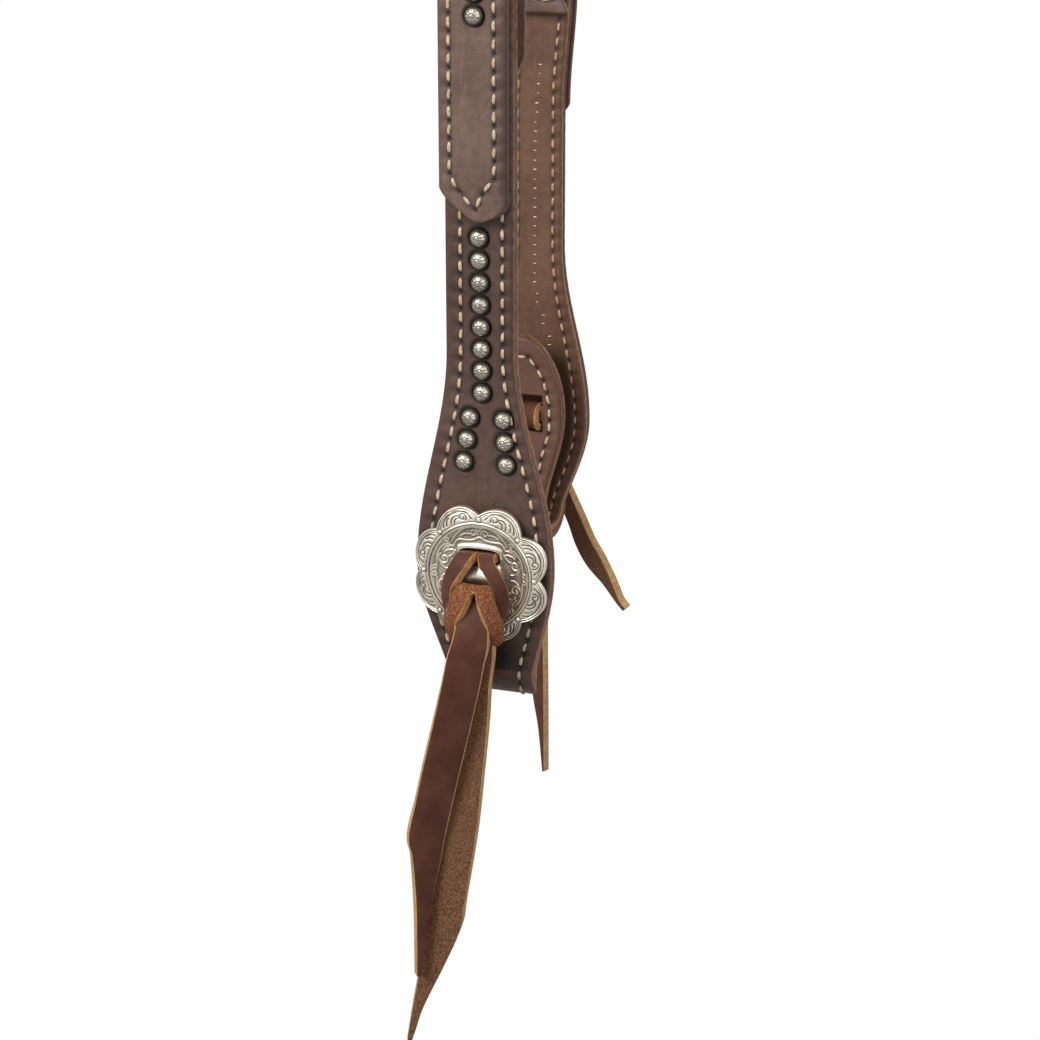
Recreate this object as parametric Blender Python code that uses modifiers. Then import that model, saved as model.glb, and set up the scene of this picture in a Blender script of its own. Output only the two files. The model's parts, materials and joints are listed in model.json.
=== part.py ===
"""Western slip-ear headstall with doubled cheeks, laced bit loops and tie conchos.

Z is up. The poll seat, under the middle of the crown, is the origin. The near cheek hangs
at -Y and the far cheek at +Y, each with its grain side outwards. X runs across the straps,
with the horse's forehead towards -X. The far side is the near side turned half round Z.
"""

import bpy
import bmesh
from math import cos, pi, radians, sin, sqrt
from mathutils import Color, Matrix, Vector

# Sizes in metres

# The whole headstall
BUCKLE_DROP = 0.200        # poll seat down to the bars of the two buckles
CHEEK_SPREAD = 0.1466      # between the outer faces of the two cheeks
CHEEK_SKEW = 0.0340        # one cheek hangs this much further forward than the other
FIT_GAP = 0.0003           # between pieces that touch
CUT_OVERRUN = 0.002        # how far a cutter runs past the face that it cuts

# Cheek: an outer ply and a lining, folded up at the bottom into the bit loop
STRAP_WIDTH = 0.01905
PLY = 0.00265
EDGE_CHAMFER = 0.0005
CHEEK_TOP_DROP = 0.0085    # buckle bar down to the upper end of the two plies
FLARE_WIDTH = 0.0387
FLARE_HEIGHT = 0.040       # widest place of the flare, above the loop's bottom
FLARE_TOP = 0.100          # where the flare starts
FLARE_SHIFT = 0.0022       # the flare's middle, towards the rear edge
CHEEK_BULGE = 0.0040       # how far the flare stands out over the bit loop
LOOP_WIDTH = 0.0226
LOOP_SHIFT = 0.0040        # the fold's middle, towards the rear edge
LOOP_GAP = 0.010           # clear space inside the bit loop
FLAP_WIDTH = 0.0257
FLAP_WIDE_HEIGHT = 0.045
FLAP_TIP_HEIGHT = 0.0717
FLAP_SHIFT = -0.0024       # the flap's middle, towards the front edge
FLAP_CURL = 0.0015         # how far the flap's tip leans away from the cheek
FLAP_TIP_SHARE = 0.05      # blunt end of the flap's tip, as a share of its width
FLAP_CURVE_SHARE = 0.58    # how full the flap's pointed end is

# Concho: scalloped, cupped and slotted
CONCHO_RADIUS = 0.01905
CONCHO_HEIGHT = 0.0404     # its middle, above the loop's bottom
CONCHO_SHIFT = 0.0026      # its middle, towards the rear edge
CONCHO_SHEET = 0.0011
CONCHO_CROWN = 0.0034
CONCHO_PETALS = 8
CONCHO_VALLEY_SHARE = 0.87
CONCHO_ROUND_SHARE = 0.6
CONCHO_PROFILE_SHARES = ((0.20, 1.00), (0.36, 0.80), (0.52, 0.42), (0.70, 0.72), (0.86, 0.66), (1.0, 0.0))
CONCHO_SLOT_PITCH = 0.0116
CONCHO_SLOT_CLEARANCE = 0.0006

# Spots: three pairs above the concho, a single row above them and a row on the chape
SPOT_RADIUS = 0.0028
SPOT_DOME_SHARE = 0.82
SPOT_SHOULDER_SHARE = 0.56
SPOT_DOME = 0.0022
SPOT_RIM = 0.0005
SPOT_SHOULDER = 0.0017
SPOT_SPACE = 0.00043       # between the edges of two spots in a row
PAIR_ROWS = 3
PAIR_CLEARANCE = 0.00729   # the concho's edge up to the lowest pair
PAIR_SPREAD = 0.0095       # between the two spots of the highest pair
PAIR_OPENING = 0.0013      # each pair is this much wider than the one above
PAIR_SHIFT = 0.0025        # the pairs' middle, towards the rear edge
SINGLE_SPOTS = 8
SINGLE_SHIFT = 0.0002      # the highest single spot's place, towards the rear edge
SINGLE_DRIFT = 0.0009      # how much further over the lowest one is
SINGLE_RISE = 0.00699      # the highest pair up to the lowest single spot
CHAPE_SPOTS = 5
CHAPE_SPOT_RISE = 0.0447   # the shoulders of the chape's point up to its lowest spot

# Chape: folded round the buckle's bar, with a pointed front leg
CHAPE_PLY = 0.0026
CHAPE_SHIFT = -0.0006
CHAPE_CLEARANCE = 0.0014   # the highest single spot up to the chape's tip
CHAPE_POINT = 0.0093
CHAPE_POINT_POWER = 1.5    # how full its point is
CHAPE_TIP_SHIFT = 0.0007   # its tip, from the chape's own middle
CHAPE_BACK_LEG = 0.093     # buckle bar down to the square end of its back leg
CREW_SLOT_WIDTH = 0.0046
CREW_SLOT_HALF = 0.0068

# Tie lace: one lace, slit at both ends and locked into a bleed knot
LACE_WIDTH = 0.0100
LACE_THICK = 0.0022
STRAND_WIDTH = 0.0050
STRAND_NEAR_SHARE = 0.48   # a strand's place beside the middle, as a share of its width
STRAND_WIDE_SHARE = 1.36   # and where it stands widest
CROSSING_SHARE = 0.9
FLAP_SLOT_PITCH = 0.0124
KNOT_DROP = 0.0204         # the concho's middle down to where the two tails start
KNOT_FRONT = 0.0193        # front tail's middle, out from the cheek's middle
KNOT_BACK = 0.0152         # back tail's middle, out from the cheek's middle
LACE_CLEARANCE = 0.0004

# Buckle: a bowed frame with a bar across its middle, and a tongue of bent wire
BUCKLE_WIRE = 0.0020
BUCKLE_BAR = 0.0020
BUCKLE_HALF_WIDTH = 0.0133
BUCKLE_HALF_HEIGHT = 0.0165
BUCKLE_CORNER = 0.0055
TONGUE_WIRE = 0.0013
TONGUE_PASS = 0.0030       # how far its tip passes the top rail
TONGUE_REST_SHARE = 0.6    # where it comes to lie flat, up the buckle's half height
TONGUE_START = radians(-50)
TONGUE_WRAP = radians(220)
TONGUE_SWING = radians(10)

# Crown: one long strap with punched ends, doubled over the poll
CROWN_PLY = 0.0026
POLL_FLAT = 0.030
BILLET_TAIL = 0.045        # below the buckle's bar
BILLET_POINT = 0.012
BILLET_CLEARANCE = 0.00508 # the chape's highest spot up to the billet's tip
BILLET_HOLE_WIDTH = 0.0040
BILLET_HOLE_PITCH = 0.0190
BILLET_HOLES_BELOW = 1
BILLET_HOLES_ABOVE = 3
LINING_ABOVE_BUCKLE = 0.035

# Slip ear, on the far side of the crown
EAR_SLEEVE_HEIGHT = 0.014
EAR_BELOW_ARCH = 0.0254    # the end of the crown's curve down to the upper sleeve's middle
EAR_ABOVE_BUCKLE = 0.054   # the buckle's bar up to the lower sleeve's middle
EAR_PLY = 0.0024
EAR_STRAP_WIDTH = 0.014
EAR_REACH = 0.044          # from the crown strap's middle to the ear strap's middle
EAR_SIDE_CLEARANCE = 0.0008
EAR_FACE_CLEARANCE = 0.0005

# Colours, sRGB
CHOCOLATE = (0.36, 0.27, 0.23)
LINING_BROWN = (0.43, 0.32, 0.24)
LATIGO = (0.36, 0.20, 0.16)
ANTIQUE_SILVER = (0.78, 0.76, 0.72)

# Heights above the bit loop's bottom, from the concho up to the buckle's bar
SPOT_PITCH = 2 * SPOT_RADIUS + SPOT_SPACE
LOWEST_PAIR = CONCHO_HEIGHT + CONCHO_RADIUS + PAIR_CLEARANCE + SPOT_RADIUS
HIGHEST_PAIR = LOWEST_PAIR + (PAIR_ROWS - 1) * SPOT_PITCH
LOWEST_SINGLE = HIGHEST_PAIR + SINGLE_RISE
CHAPE_TIP = LOWEST_SINGLE + (SINGLE_SPOTS - 1) * SPOT_PITCH + SPOT_RADIUS + CHAPE_CLEARANCE
CHAPE_SHOULDER = CHAPE_TIP + CHAPE_POINT
LOWEST_CHAPE_SPOT = CHAPE_SHOULDER + CHAPE_SPOT_RISE
BILLET_TIP = LOWEST_CHAPE_SPOT + (CHAPE_SPOTS - 1) * SPOT_PITCH + SPOT_RADIUS + BILLET_CLEARANCE
CHEEK_LENGTH = BILLET_TIP + BILLET_TAIL
KNOT_BOTTOM = CONCHO_HEIGHT - KNOT_DROP
FLAP_SLOT_LOW = CONCHO_HEIGHT
FLAP_SLOT_HIGH = FLAP_SLOT_LOW + FLAP_SLOT_PITCH

# Depths out from the middle of a cheek
CHEEK_HALF = PLY + FIT_GAP / 2
CHAPE_FACE = CHEEK_HALF + FIT_GAP + CHAPE_PLY
BILLET_MIDDLE = CHAPE_FACE + FIT_GAP + CROWN_PLY / 2
RAIL_OUT = BILLET_MIDDLE + CROWN_PLY / 2 + FIT_GAP + BUCKLE_WIRE
FOLD_RADIUS = LOOP_GAP / 2 + CHEEK_HALF
FOLD_HEIGHT = FOLD_RADIUS + CHEEK_HALF

# The crown's arch, and where the two cheeks hang from it
CHEEK_MIDDLE = CHEEK_SPREAD / 2 - CHEEK_HALF
CHEEK_SIDE = CHEEK_SKEW / 2
CROWN_REACH = CHEEK_MIDDLE + BILLET_MIDDLE
CROWN_INSIDE = CROWN_PLY / 2 + FIT_GAP + CROWN_PLY
ARCH_RADIUS = CROWN_REACH - POLL_FLAT / 2
EAR_UPPER_DROP = ARCH_RADIUS - CROWN_INSIDE + EAR_BELOW_ARCH
EAR_LOWER_DROP = BUCKLE_DROP - EAR_ABOVE_BUCKLE


def clear_scene():
    for obj in list(bpy.data.objects):
        bpy.data.objects.remove(obj, do_unlink=True)


def new_collection(name):
    collection = bpy.data.collections.new(name)
    bpy.context.scene.collection.children.link(collection)
    return collection


def ease(share):
    """Smooth step from 0 to 1, flat at both ends."""
    share = min(max(share, 0.0), 1.0)
    return (1 - cos(pi * share)) / 2


def spread(start, end, count):
    return [start + (end - start) * i / (count - 1) for i in range(count)]


def smooth_route(points, steps):
    """Points on a Catmull-Rom curve through the given ones."""
    first = [2 * a - b for a, b in zip(points[0], points[1])]
    last = [2 * a - b for a, b in zip(points[-1], points[-2])]
    knots = [first] + [list(p) for p in points] + [last]
    route = []
    for i in range(1, len(knots) - 2):
        for step in range(steps):
            t = step / steps
            route.append(tuple(
                (2 * b + (c - a) * t + (2 * a - 5 * b + 4 * c - d) * t ** 2
                 + (3 * b - a - 3 * c + d) * t ** 3) / 2
                for a, b, c, d in zip(*knots[i - 1:i + 3])))
    route.append(tuple(points[-1]))
    return route


def mesh_from(name, bm):
    bmesh.ops.recalc_face_normals(bm, faces=bm.faces)
    mesh = bpy.data.meshes.new(name)
    bm.to_mesh(mesh)
    bm.free()
    return mesh


def loft(name, rings):
    """A closed skin over rings of equal counts, with flat ends."""
    bm = bmesh.new()
    loops = [[bm.verts.new(point) for point in ring] for ring in rings]
    for low, high in zip(loops, loops[1:]):
        for i in range(len(low)):
            j = (i + 1) % len(low)
            bm.faces.new((low[i], low[j], high[j], high[i]))
    bm.faces.new(loops[0])
    bm.faces.new(list(reversed(loops[-1])))
    return mesh_from(name, bm)


def strap_outline(half, low, high, chamfer_low, chamfer_high):
    """Section of a strap: across its width, then through its thickness."""
    points = []
    for side, depth, cut in ((-1, low, chamfer_low), (-1, high, chamfer_high),
                             (1, high, chamfer_high), (1, low, chamfer_low)):
        if not cut:
            points.append((side * half, depth))
            continue
        inset = min(cut, half / 3)
        inward = inset if depth == low else -inset
        corner = [(side * half, depth + inward), (side * (half - inset), depth)]
        start_on_face = (side == -1) == (depth == low)
        points += reversed(corner) if start_on_face else corner
    return points


def tangents(points):
    """Unit directions along a route, in any number of dimensions."""
    result = []
    for i in range(len(points)):
        ahead = Vector(points[min(i + 1, len(points) - 1)])
        behind = Vector(points[max(i - 1, 0)])
        result.append((ahead - behind).normalized())
    return result


def strap(name, stations, low, high, chamfer_low=0.0, chamfer_high=0.0):
    """A strap whose width lies along X.

    A station is (y, z, half width, middle x). Low and high are the depths of its two faces,
    measured from the route towards the grain side, which is on the right of the route as it
    is seen from -X.
    """
    directions = tangents([(y, z) for y, z, half, middle in stations])
    rings = []
    for (y, z, half, middle), (run_y, run_z) in zip(stations, directions):
        ring = []
        for across, depth in strap_outline(half, low, high, chamfer_low, chamfer_high):
            ring.append((middle + across, y + depth * run_z, z - depth * run_y))
        rings.append(ring)
    return loft(name, rings)


def hanging_strip(name, points, halves, thick):
    """A strip that hangs along points, with its face towards -Y and its width across them."""
    facing = Vector((0, -1, 0))
    rings = []
    for point, half, run in zip(points, halves, tangents(points)):
        across = facing.cross(run).normalized()
        through = run.cross(across).normalized()
        rings.append([Vector(point) + across * a * half + through * b * thick / 2
                      for a, b in ((-1, -1), (-1, 1), (1, 1), (1, -1))])
    return loft(name, rings)


def bevelled_curve(name, points, radius, resolution, cyclic=False):
    """A round wire along points, as a closed mesh."""
    curve = bpy.data.curves.new(name, "CURVE")
    curve.dimensions = "3D"
    curve.bevel_depth = radius
    curve.bevel_resolution = resolution
    curve.use_fill_caps = not cyclic
    spline = curve.splines.new("POLY")
    spline.points.add(len(points) - 1)
    for knot, point in zip(spline.points, points):
        knot.co = (*point, 1)
    spline.use_cyclic_u = cyclic
    wire = bpy.data.objects.new(name, curve)
    WORK.objects.link(wire)
    bpy.context.view_layer.update()
    mesh = bpy.data.meshes.new_from_object(wire.evaluated_get(bpy.context.evaluated_depsgraph_get()))
    bpy.data.objects.remove(wire, do_unlink=True)
    bm = bmesh.new()
    bm.from_mesh(mesh)
    bmesh.ops.remove_doubles(bm, verts=bm.verts, dist=FIT_GAP / 100)
    return mesh_from(name, bm)


def box_mesh(name, low, high):
    bm = bmesh.new()
    bmesh.ops.create_cube(bm, size=1)
    size = Vector(high) - Vector(low)
    bmesh.ops.scale(bm, vec=size, verts=bm.verts)
    bmesh.ops.translate(bm, vec=(Vector(low) + Vector(high)) / 2, verts=bm.verts)
    return mesh_from(name, bm)


def rod_mesh(name, radius, start, end, segments):
    """A cylinder between two points on one axis."""
    axis = Vector(end) - Vector(start)
    bm = bmesh.new()
    turn = Vector((0, 0, 1)).rotation_difference(axis).to_matrix().to_4x4()
    place = Matrix.Translation((Vector(start) + Vector(end)) / 2) @ turn
    bmesh.ops.create_cone(bm, cap_ends=True, segments=segments, radius1=radius, radius2=radius,
                          depth=axis.length, matrix=place)
    return mesh_from(name, bm)


def combine(mesh, others, operation):
    """Cut the others from a mesh, or join them to it, one after another."""
    name = mesh.name
    body = bpy.data.objects.new(name, mesh)
    WORK.objects.link(body)
    tools = []
    for other in others:
        tool = bpy.data.objects.new("tool", other)
        tool.hide_render = True
        tool.display_type = "WIRE"
        WORK.objects.link(tool)
        tools.append(tool)
        step = body.modifiers.new("combine", "BOOLEAN")
        step.operation = operation
        step.solver = "EXACT"
        step.object = tool
    bpy.context.view_layer.update()
    result = bpy.data.meshes.new_from_object(body.evaluated_get(bpy.context.evaluated_depsgraph_get()))
    for obj in tools + [body]:
        bpy.data.objects.remove(obj, do_unlink=True)
    result.name = name
    return result


def paint(obj, colour, roughness, metallic):
    material = bpy.data.materials.new(obj.name + "_finish")
    material.use_nodes = True
    shader = material.node_tree.nodes["Principled BSDF"]
    linear = Color(colour).from_srgb_to_scene_linear()
    shader.inputs["Base Color"].default_value = (*linear, 1)
    shader.inputs["Roughness"].default_value = roughness
    shader.inputs["Metallic"].default_value = metallic
    obj.data.materials.clear()
    obj.data.materials.append(material)


def place(name, mesh, parent, finish, at=None):
    """A sub-part: its mesh, what carries it, and its finish."""
    obj = bpy.data.objects.new(name, mesh.copy())
    PARTS.objects.link(obj)
    obj.parent = parent
    if at is not None:
        obj.matrix_local = at
    paint(obj, *finish)
    return obj


def pivot(name, location, parent=None, turn=0.0):
    """An empty on a joint's axis."""
    empty = bpy.data.objects.new(name, None)
    PARTS.objects.link(empty)
    empty.parent = parent
    empty.location = location
    empty.rotation_euler = (0, 0, turn)
    return empty


# Everything on a cheek is measured from the buckle's bar: x across, -y outwards, z up.

def up(height):
    """The place on Z of a height above the bit loop's bottom."""
    return height - CHEEK_LENGTH


def bulge(height):
    """How far the cheek stands out at a height."""
    return CHEEK_BULGE * ease((FLARE_TOP - height) / (FLARE_TOP - FLARE_HEIGHT))


def cheek_half_width(height):
    if height >= FLARE_HEIGHT:
        share = (FLARE_TOP - height) / (FLARE_TOP - FLARE_HEIGHT)
        return STRAP_WIDTH / 2 + (FLARE_WIDTH - STRAP_WIDTH) / 2 * ease(share)
    return LOOP_WIDTH / 2 + (FLARE_WIDTH - LOOP_WIDTH) / 2 * ease(height / FLARE_HEIGHT)


def cheek_shift(height):
    if height >= FLARE_HEIGHT:
        return FLARE_SHIFT * ease((FLARE_TOP - height) / (FLARE_TOP - FLARE_HEIGHT))
    return LOOP_SHIFT + (FLARE_SHIFT - LOOP_SHIFT) * ease(height / FLARE_HEIGHT)


def flap_half_width(height):
    if height <= FLAP_WIDE_HEIGHT:
        share = ease((height - FOLD_HEIGHT) / (FLAP_WIDE_HEIGHT - FOLD_HEIGHT))
        return LOOP_WIDTH / 2 + (FLAP_WIDTH - LOOP_WIDTH) / 2 * share
    share = (height - FLAP_WIDE_HEIGHT) / (FLAP_TIP_HEIGHT - FLAP_WIDE_HEIGHT)
    return FLAP_WIDTH / 2 * max((1 - share ** 2) ** FLAP_CURVE_SHARE, FLAP_TIP_SHARE)


def flap_shift(height):
    """The flap leans from the fold's middle over to its own."""
    share = (height - FOLD_HEIGHT) / (FLAP_WIDE_HEIGHT - FOLD_HEIGHT)
    return LOOP_SHIFT + (FLAP_SHIFT - LOOP_SHIFT) * ease(share)


def flap_middle():
    """The flap's place on y, midway between its two plies."""
    return 2 * FOLD_RADIUS - CHEEK_BULGE


def cheek_stations():
    """The route midway between the plies: down the cheek, round the fold and up the flap."""
    top = CHEEK_LENGTH - CHEEK_TOP_DROP
    heights = spread(top, FLARE_TOP, 4)[:-1] + spread(FLARE_TOP, FOLD_HEIGHT, 22)
    stations = [(-bulge(h), up(h), cheek_half_width(h), cheek_shift(h)) for h in heights]
    start_half = cheek_half_width(FOLD_HEIGHT)
    start_shift = cheek_shift(FOLD_HEIGHT)
    for share in spread(0, 1, 10)[1:]:
        turn = pi * share
        half = start_half + (flap_half_width(FOLD_HEIGHT) - start_half) * ease(share)
        shift = start_shift + (LOOP_SHIFT - start_shift) * ease(share)
        y = FOLD_RADIUS * (1 - cos(turn)) - CHEEK_BULGE
        stations.append((y, up(FOLD_HEIGHT - FOLD_RADIUS * sin(turn)), half, shift))
    heights = spread(FOLD_HEIGHT, FLAP_WIDE_HEIGHT, 7)[1:]
    heights += [FLAP_WIDE_HEIGHT + (FLAP_TIP_HEIGHT - FLAP_WIDE_HEIGHT) * sin(pi / 2 * share)
                for share in spread(0, 1, 10)[1:]]
    for height in heights:
        curl = FLAP_CURL * ease((height - FLAP_SLOT_HIGH) / (FLAP_TIP_HEIGHT - FLAP_SLOT_HIGH))
        stations.append((flap_middle() + curl, up(height), flap_half_width(height), flap_shift(height)))
    return stations


def lace_loop_route():
    """The lace's own loop: in at the concho's upper slot, down the flap, out at the lower one.

    A point is (y, z, middle x), measured from the buckle's bar.
    """
    slot_high = CONCHO_HEIGHT + CONCHO_SLOT_PITCH / 2
    slot_low = CONCHO_HEIGHT - CONCHO_SLOT_PITCH / 2
    face = CHEEK_HALF + CHEEK_BULGE
    lining = CHEEK_HALF - CHEEK_BULGE
    flap_in = flap_middle() - CHEEK_HALF
    flap_out = flap_middle() + CHEEK_HALF
    bight = flap_out + FIT_GAP + LACE_THICK / 2
    front = face + FIT_GAP + CONCHO_SHEET + CONCHO_CROWN + LACE_THICK
    return [
        (-front, up(slot_high - LACE_THICK / 2), CONCHO_SHIFT),
        (-face - CONCHO_CROWN, up(slot_high), CONCHO_SHIFT),
        (-face, up(slot_high), CONCHO_SHIFT),
        (lining, up(slot_high + LACE_THICK / 3), CONCHO_SHIFT),
        ((lining + flap_in) / 2, up((slot_high + FLAP_SLOT_HIGH) / 2), (CONCHO_SHIFT + FLAP_SHIFT) / 2),
        (flap_in, up(FLAP_SLOT_HIGH - LACE_THICK / 3), FLAP_SHIFT),
        (flap_out - LACE_THICK / 2, up(FLAP_SLOT_HIGH), FLAP_SHIFT),
        (bight, up(FLAP_SLOT_HIGH - LACE_THICK), FLAP_SHIFT),
        (bight + FIT_GAP, up(FLAP_SLOT_LOW + FLAP_SLOT_PITCH / 2), FLAP_SHIFT),
        (bight, up(FLAP_SLOT_LOW + LACE_THICK), FLAP_SHIFT),
        (flap_out - LACE_THICK / 2, up(FLAP_SLOT_LOW), FLAP_SHIFT),
        (flap_in, up(FLAP_SLOT_LOW - LACE_THICK / 3), FLAP_SHIFT),
        ((lining + flap_in) / 2, up((slot_low + FLAP_SLOT_LOW) / 2), (CONCHO_SHIFT + FLAP_SHIFT) / 2),
        (lining, up(slot_low + LACE_THICK / 3), CONCHO_SHIFT),
        (-face, up(slot_low), CONCHO_SHIFT),
        (-face - CONCHO_CROWN, up(slot_low), CONCHO_SHIFT),
        (-front, up(slot_low), CONCHO_SHIFT),
    ]


def lace_strip(name, route, width, extra=0.0, steps=3):
    """A stretch of lace; with extra, the room that it needs."""
    stations = [(y, z, width / 2 + extra, x) for y, z, x in smooth_route(route, steps)]
    return strap(name, stations, -LACE_THICK / 2 - extra, LACE_THICK / 2 + extra)


def knot_mesh():
    """The bleed knot: each end is slit, and each passes out through the other's slit."""
    slot_high = CONCHO_HEIGHT + CONCHO_SLOT_PITCH / 2
    slot_low = CONCHO_HEIGHT - CONCHO_SLOT_PITCH / 2
    face = CHEEK_HALF + CHEEK_BULGE
    front = face + FIT_GAP + CONCHO_SHEET + CONCHO_CROWN + LACE_THICK
    strands = []
    for side in (-1, 1):
        beside = side * STRAND_WIDTH * STRAND_NEAR_SHARE
        wide = side * STRAND_WIDTH * STRAND_WIDE_SHARE
        upper = [
            (-front + LACE_THICK / 4, up(slot_high), CONCHO_SHIFT + beside),
            (-front - LACE_THICK / 8, up(slot_high - LACE_THICK), CONCHO_SHIFT + beside),
            (-front - LACE_THICK / 4, up(CONCHO_HEIGHT - LACE_THICK), CONCHO_SHIFT + wide),
            (-front - LACE_THICK / 3, up(slot_low - LACE_THICK), CONCHO_SHIFT + wide),
            (-(front + KNOT_FRONT) / 2, up(KNOT_BOTTOM + 4 * LACE_THICK), CONCHO_SHIFT + beside),
            (-KNOT_FRONT, up(KNOT_BOTTOM + LACE_THICK), CONCHO_SHIFT + beside),
        ]
        lower = [
            (-front - LACE_THICK, up(slot_low), CONCHO_SHIFT + beside),
            (-KNOT_FRONT + LACE_THICK / 2, up(slot_low + LACE_THICK / 4), CONCHO_SHIFT + beside),
            (-KNOT_FRONT - LACE_THICK / 4, up(slot_low - LACE_THICK), CONCHO_SHIFT + side * STRAND_WIDTH),
            (-KNOT_FRONT + LACE_THICK / 4, up(KNOT_BOTTOM + 4 * LACE_THICK), CONCHO_SHIFT + wide),
            (-KNOT_BACK - LACE_THICK / 3, up(KNOT_BOTTOM + 2 * LACE_THICK), CONCHO_SHIFT + side * STRAND_WIDTH),
            (-KNOT_BACK, up(KNOT_BOTTOM + LACE_THICK), CONCHO_SHIFT + beside),
        ]
        strands.append(lace_strip("upper_strand", upper, STRAND_WIDTH))
        strands.append(lace_strip("lower_strand", lower, STRAND_WIDTH))
    for depth in (KNOT_FRONT, KNOT_BACK):
        start = [(-depth, up(KNOT_BOTTOM + 2 * LACE_THICK), CONCHO_SHIFT),
                 (-depth, up(KNOT_BOTTOM + FIT_GAP), CONCHO_SHIFT)]
        strands.append(lace_strip("tail_start", start, LACE_WIDTH, steps=1))
    crossing = [(-front + LACE_THICK / 2, up(slot_low), CONCHO_SHIFT),
                (-KNOT_FRONT + LACE_THICK / 2, up(slot_low), CONCHO_SHIFT)]
    strands.append(lace_strip("crossing", crossing, LACE_WIDTH * CROSSING_SHARE, steps=1))
    loop = lace_strip("tie_lace", lace_loop_route(), LACE_WIDTH)
    return combine(loop, strands, "UNION")


def tail_mesh(name, depth, route, taper_start):
    """A free tail of lace, straight down out of the knot and on to its slanted tip.

    The route's points are (x, y, height), and the tip narrows over the last share of it.
    """
    start = [(CONCHO_SHIFT, -depth, KNOT_BOTTOM), (CONCHO_SHIFT, -depth, KNOT_BOTTOM - LACE_THICK)]
    points = smooth_route([(x, y, up(h)) for x, y, h in start + route], 3)
    points = [start[0][:2] + (up(KNOT_BOTTOM),)] + [start[1][:2] + (points[2][2],)] + points[3:]
    halves = []
    for i in range(len(points)):
        share = i / (len(points) - 1)
        narrow = max(share - taper_start, 0) / (1 - taper_start)
        halves.append(LACE_WIDTH / 2 * (1 - narrow) + LACE_THICK / 4 * narrow)
    return hanging_strip(name, points, halves, LACE_THICK)


def concho_edge(angle):
    """The scalloped rim's radius at an angle."""
    lobe = abs(sin(CONCHO_PETALS / 2 * angle)) ** CONCHO_ROUND_SHARE
    return CONCHO_RADIUS * (CONCHO_VALLEY_SHARE + (1 - CONCHO_VALLEY_SHARE) * lobe)


def concho_mesh():
    """A cupped sheet with a scalloped rim, and a back that follows its front."""
    around = CONCHO_PETALS * 6
    seat = -(CHEEK_HALF + CHEEK_BULGE + FIT_GAP)
    bm = bmesh.new()
    skins = []
    for depth in (0.0, CONCHO_SHEET):
        pole = bm.verts.new((CONCHO_SHIFT, seat - CONCHO_CROWN - depth, up(CONCHO_HEIGHT)))
        rings = []
        for reach_share, crown_share in CONCHO_PROFILE_SHARES:
            ring = []
            for i in range(around):
                angle = 2 * pi * i / around
                round_share = ease(reach_share)
                edge = concho_edge(angle) * round_share + CONCHO_RADIUS * (1 - round_share)
                reach = edge * reach_share
                ring.append(bm.verts.new((CONCHO_SHIFT + reach * cos(angle),
                                          seat - CONCHO_CROWN * crown_share - depth,
                                          up(CONCHO_HEIGHT) + reach * sin(angle))))
            rings.append(ring)
        for i in range(around):
            bm.faces.new((pole, rings[0][i], rings[0][(i + 1) % around]))
        for inner, outer in zip(rings, rings[1:]):
            for i in range(around):
                j = (i + 1) % around
                bm.faces.new((inner[i], outer[i], outer[j], inner[j]))
        skins.append(rings[-1])
    back, front = skins
    for i in range(around):
        j = (i + 1) % around
        bm.faces.new((back[i], front[i], front[j], back[j]))
    return mesh_from("concho", bm)


def concho_slots():
    """Cutters for the two slots, above and below the concho's own bar."""
    seat = CHEEK_HALF + CHEEK_BULGE
    half_x = LACE_WIDTH / 2 + CONCHO_SLOT_CLEARANCE
    half_z = LACE_THICK / 2 + CONCHO_SLOT_CLEARANCE
    cutters = []
    for offset in (-CONCHO_SLOT_PITCH / 2, CONCHO_SLOT_PITCH / 2):
        z = up(CONCHO_HEIGHT) + offset
        low = (CONCHO_SHIFT - half_x, -seat - CONCHO_CROWN - CONCHO_SHEET - CUT_OVERRUN, z - half_z)
        high = (CONCHO_SHIFT + half_x, -seat + CUT_OVERRUN, z + half_z)
        cutters.append(box_mesh("concho_slot", low, high))
    return cutters


def spot_mesh():
    """A domed spot on its flat back, turned from a profile, with its dome towards -Y."""
    profile = [(0, 0), (SPOT_RADIUS, 0), (SPOT_RADIUS * SPOT_DOME_SHARE, SPOT_RIM),
               (SPOT_RADIUS * SPOT_SHOULDER_SHARE, SPOT_SHOULDER), (0, SPOT_DOME)]
    bm = bmesh.new()
    verts = [bm.verts.new((reach, 0, rise)) for reach, rise in profile]
    for a, b in zip(verts, verts[1:]):
        bm.edges.new((a, b))
    mesh = bpy.data.meshes.new("spot")
    bm.to_mesh(mesh)
    bm.free()
    obj = bpy.data.objects.new("spot", mesh)
    WORK.objects.link(obj)
    screw = obj.modifiers.new("turn", "SCREW")
    screw.axis = "Z"
    screw.steps = 12
    screw.render_steps = 12
    screw.use_merge_vertices = True
    screw.merge_threshold = FIT_GAP / 10
    bpy.context.view_layer.update()
    turned = bpy.data.meshes.new_from_object(obj.evaluated_get(bpy.context.evaluated_depsgraph_get()))
    bpy.data.objects.remove(obj, do_unlink=True)
    bm = bmesh.new()
    bm.from_mesh(turned)
    bmesh.ops.remove_doubles(bm, verts=bm.verts, dist=FIT_GAP / 100)
    bmesh.ops.rotate(bm, cent=(0, 0, 0), matrix=Matrix.Rotation(pi / 2, 3, "X"), verts=bm.verts)
    return mesh_from("spot", bm)


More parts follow.
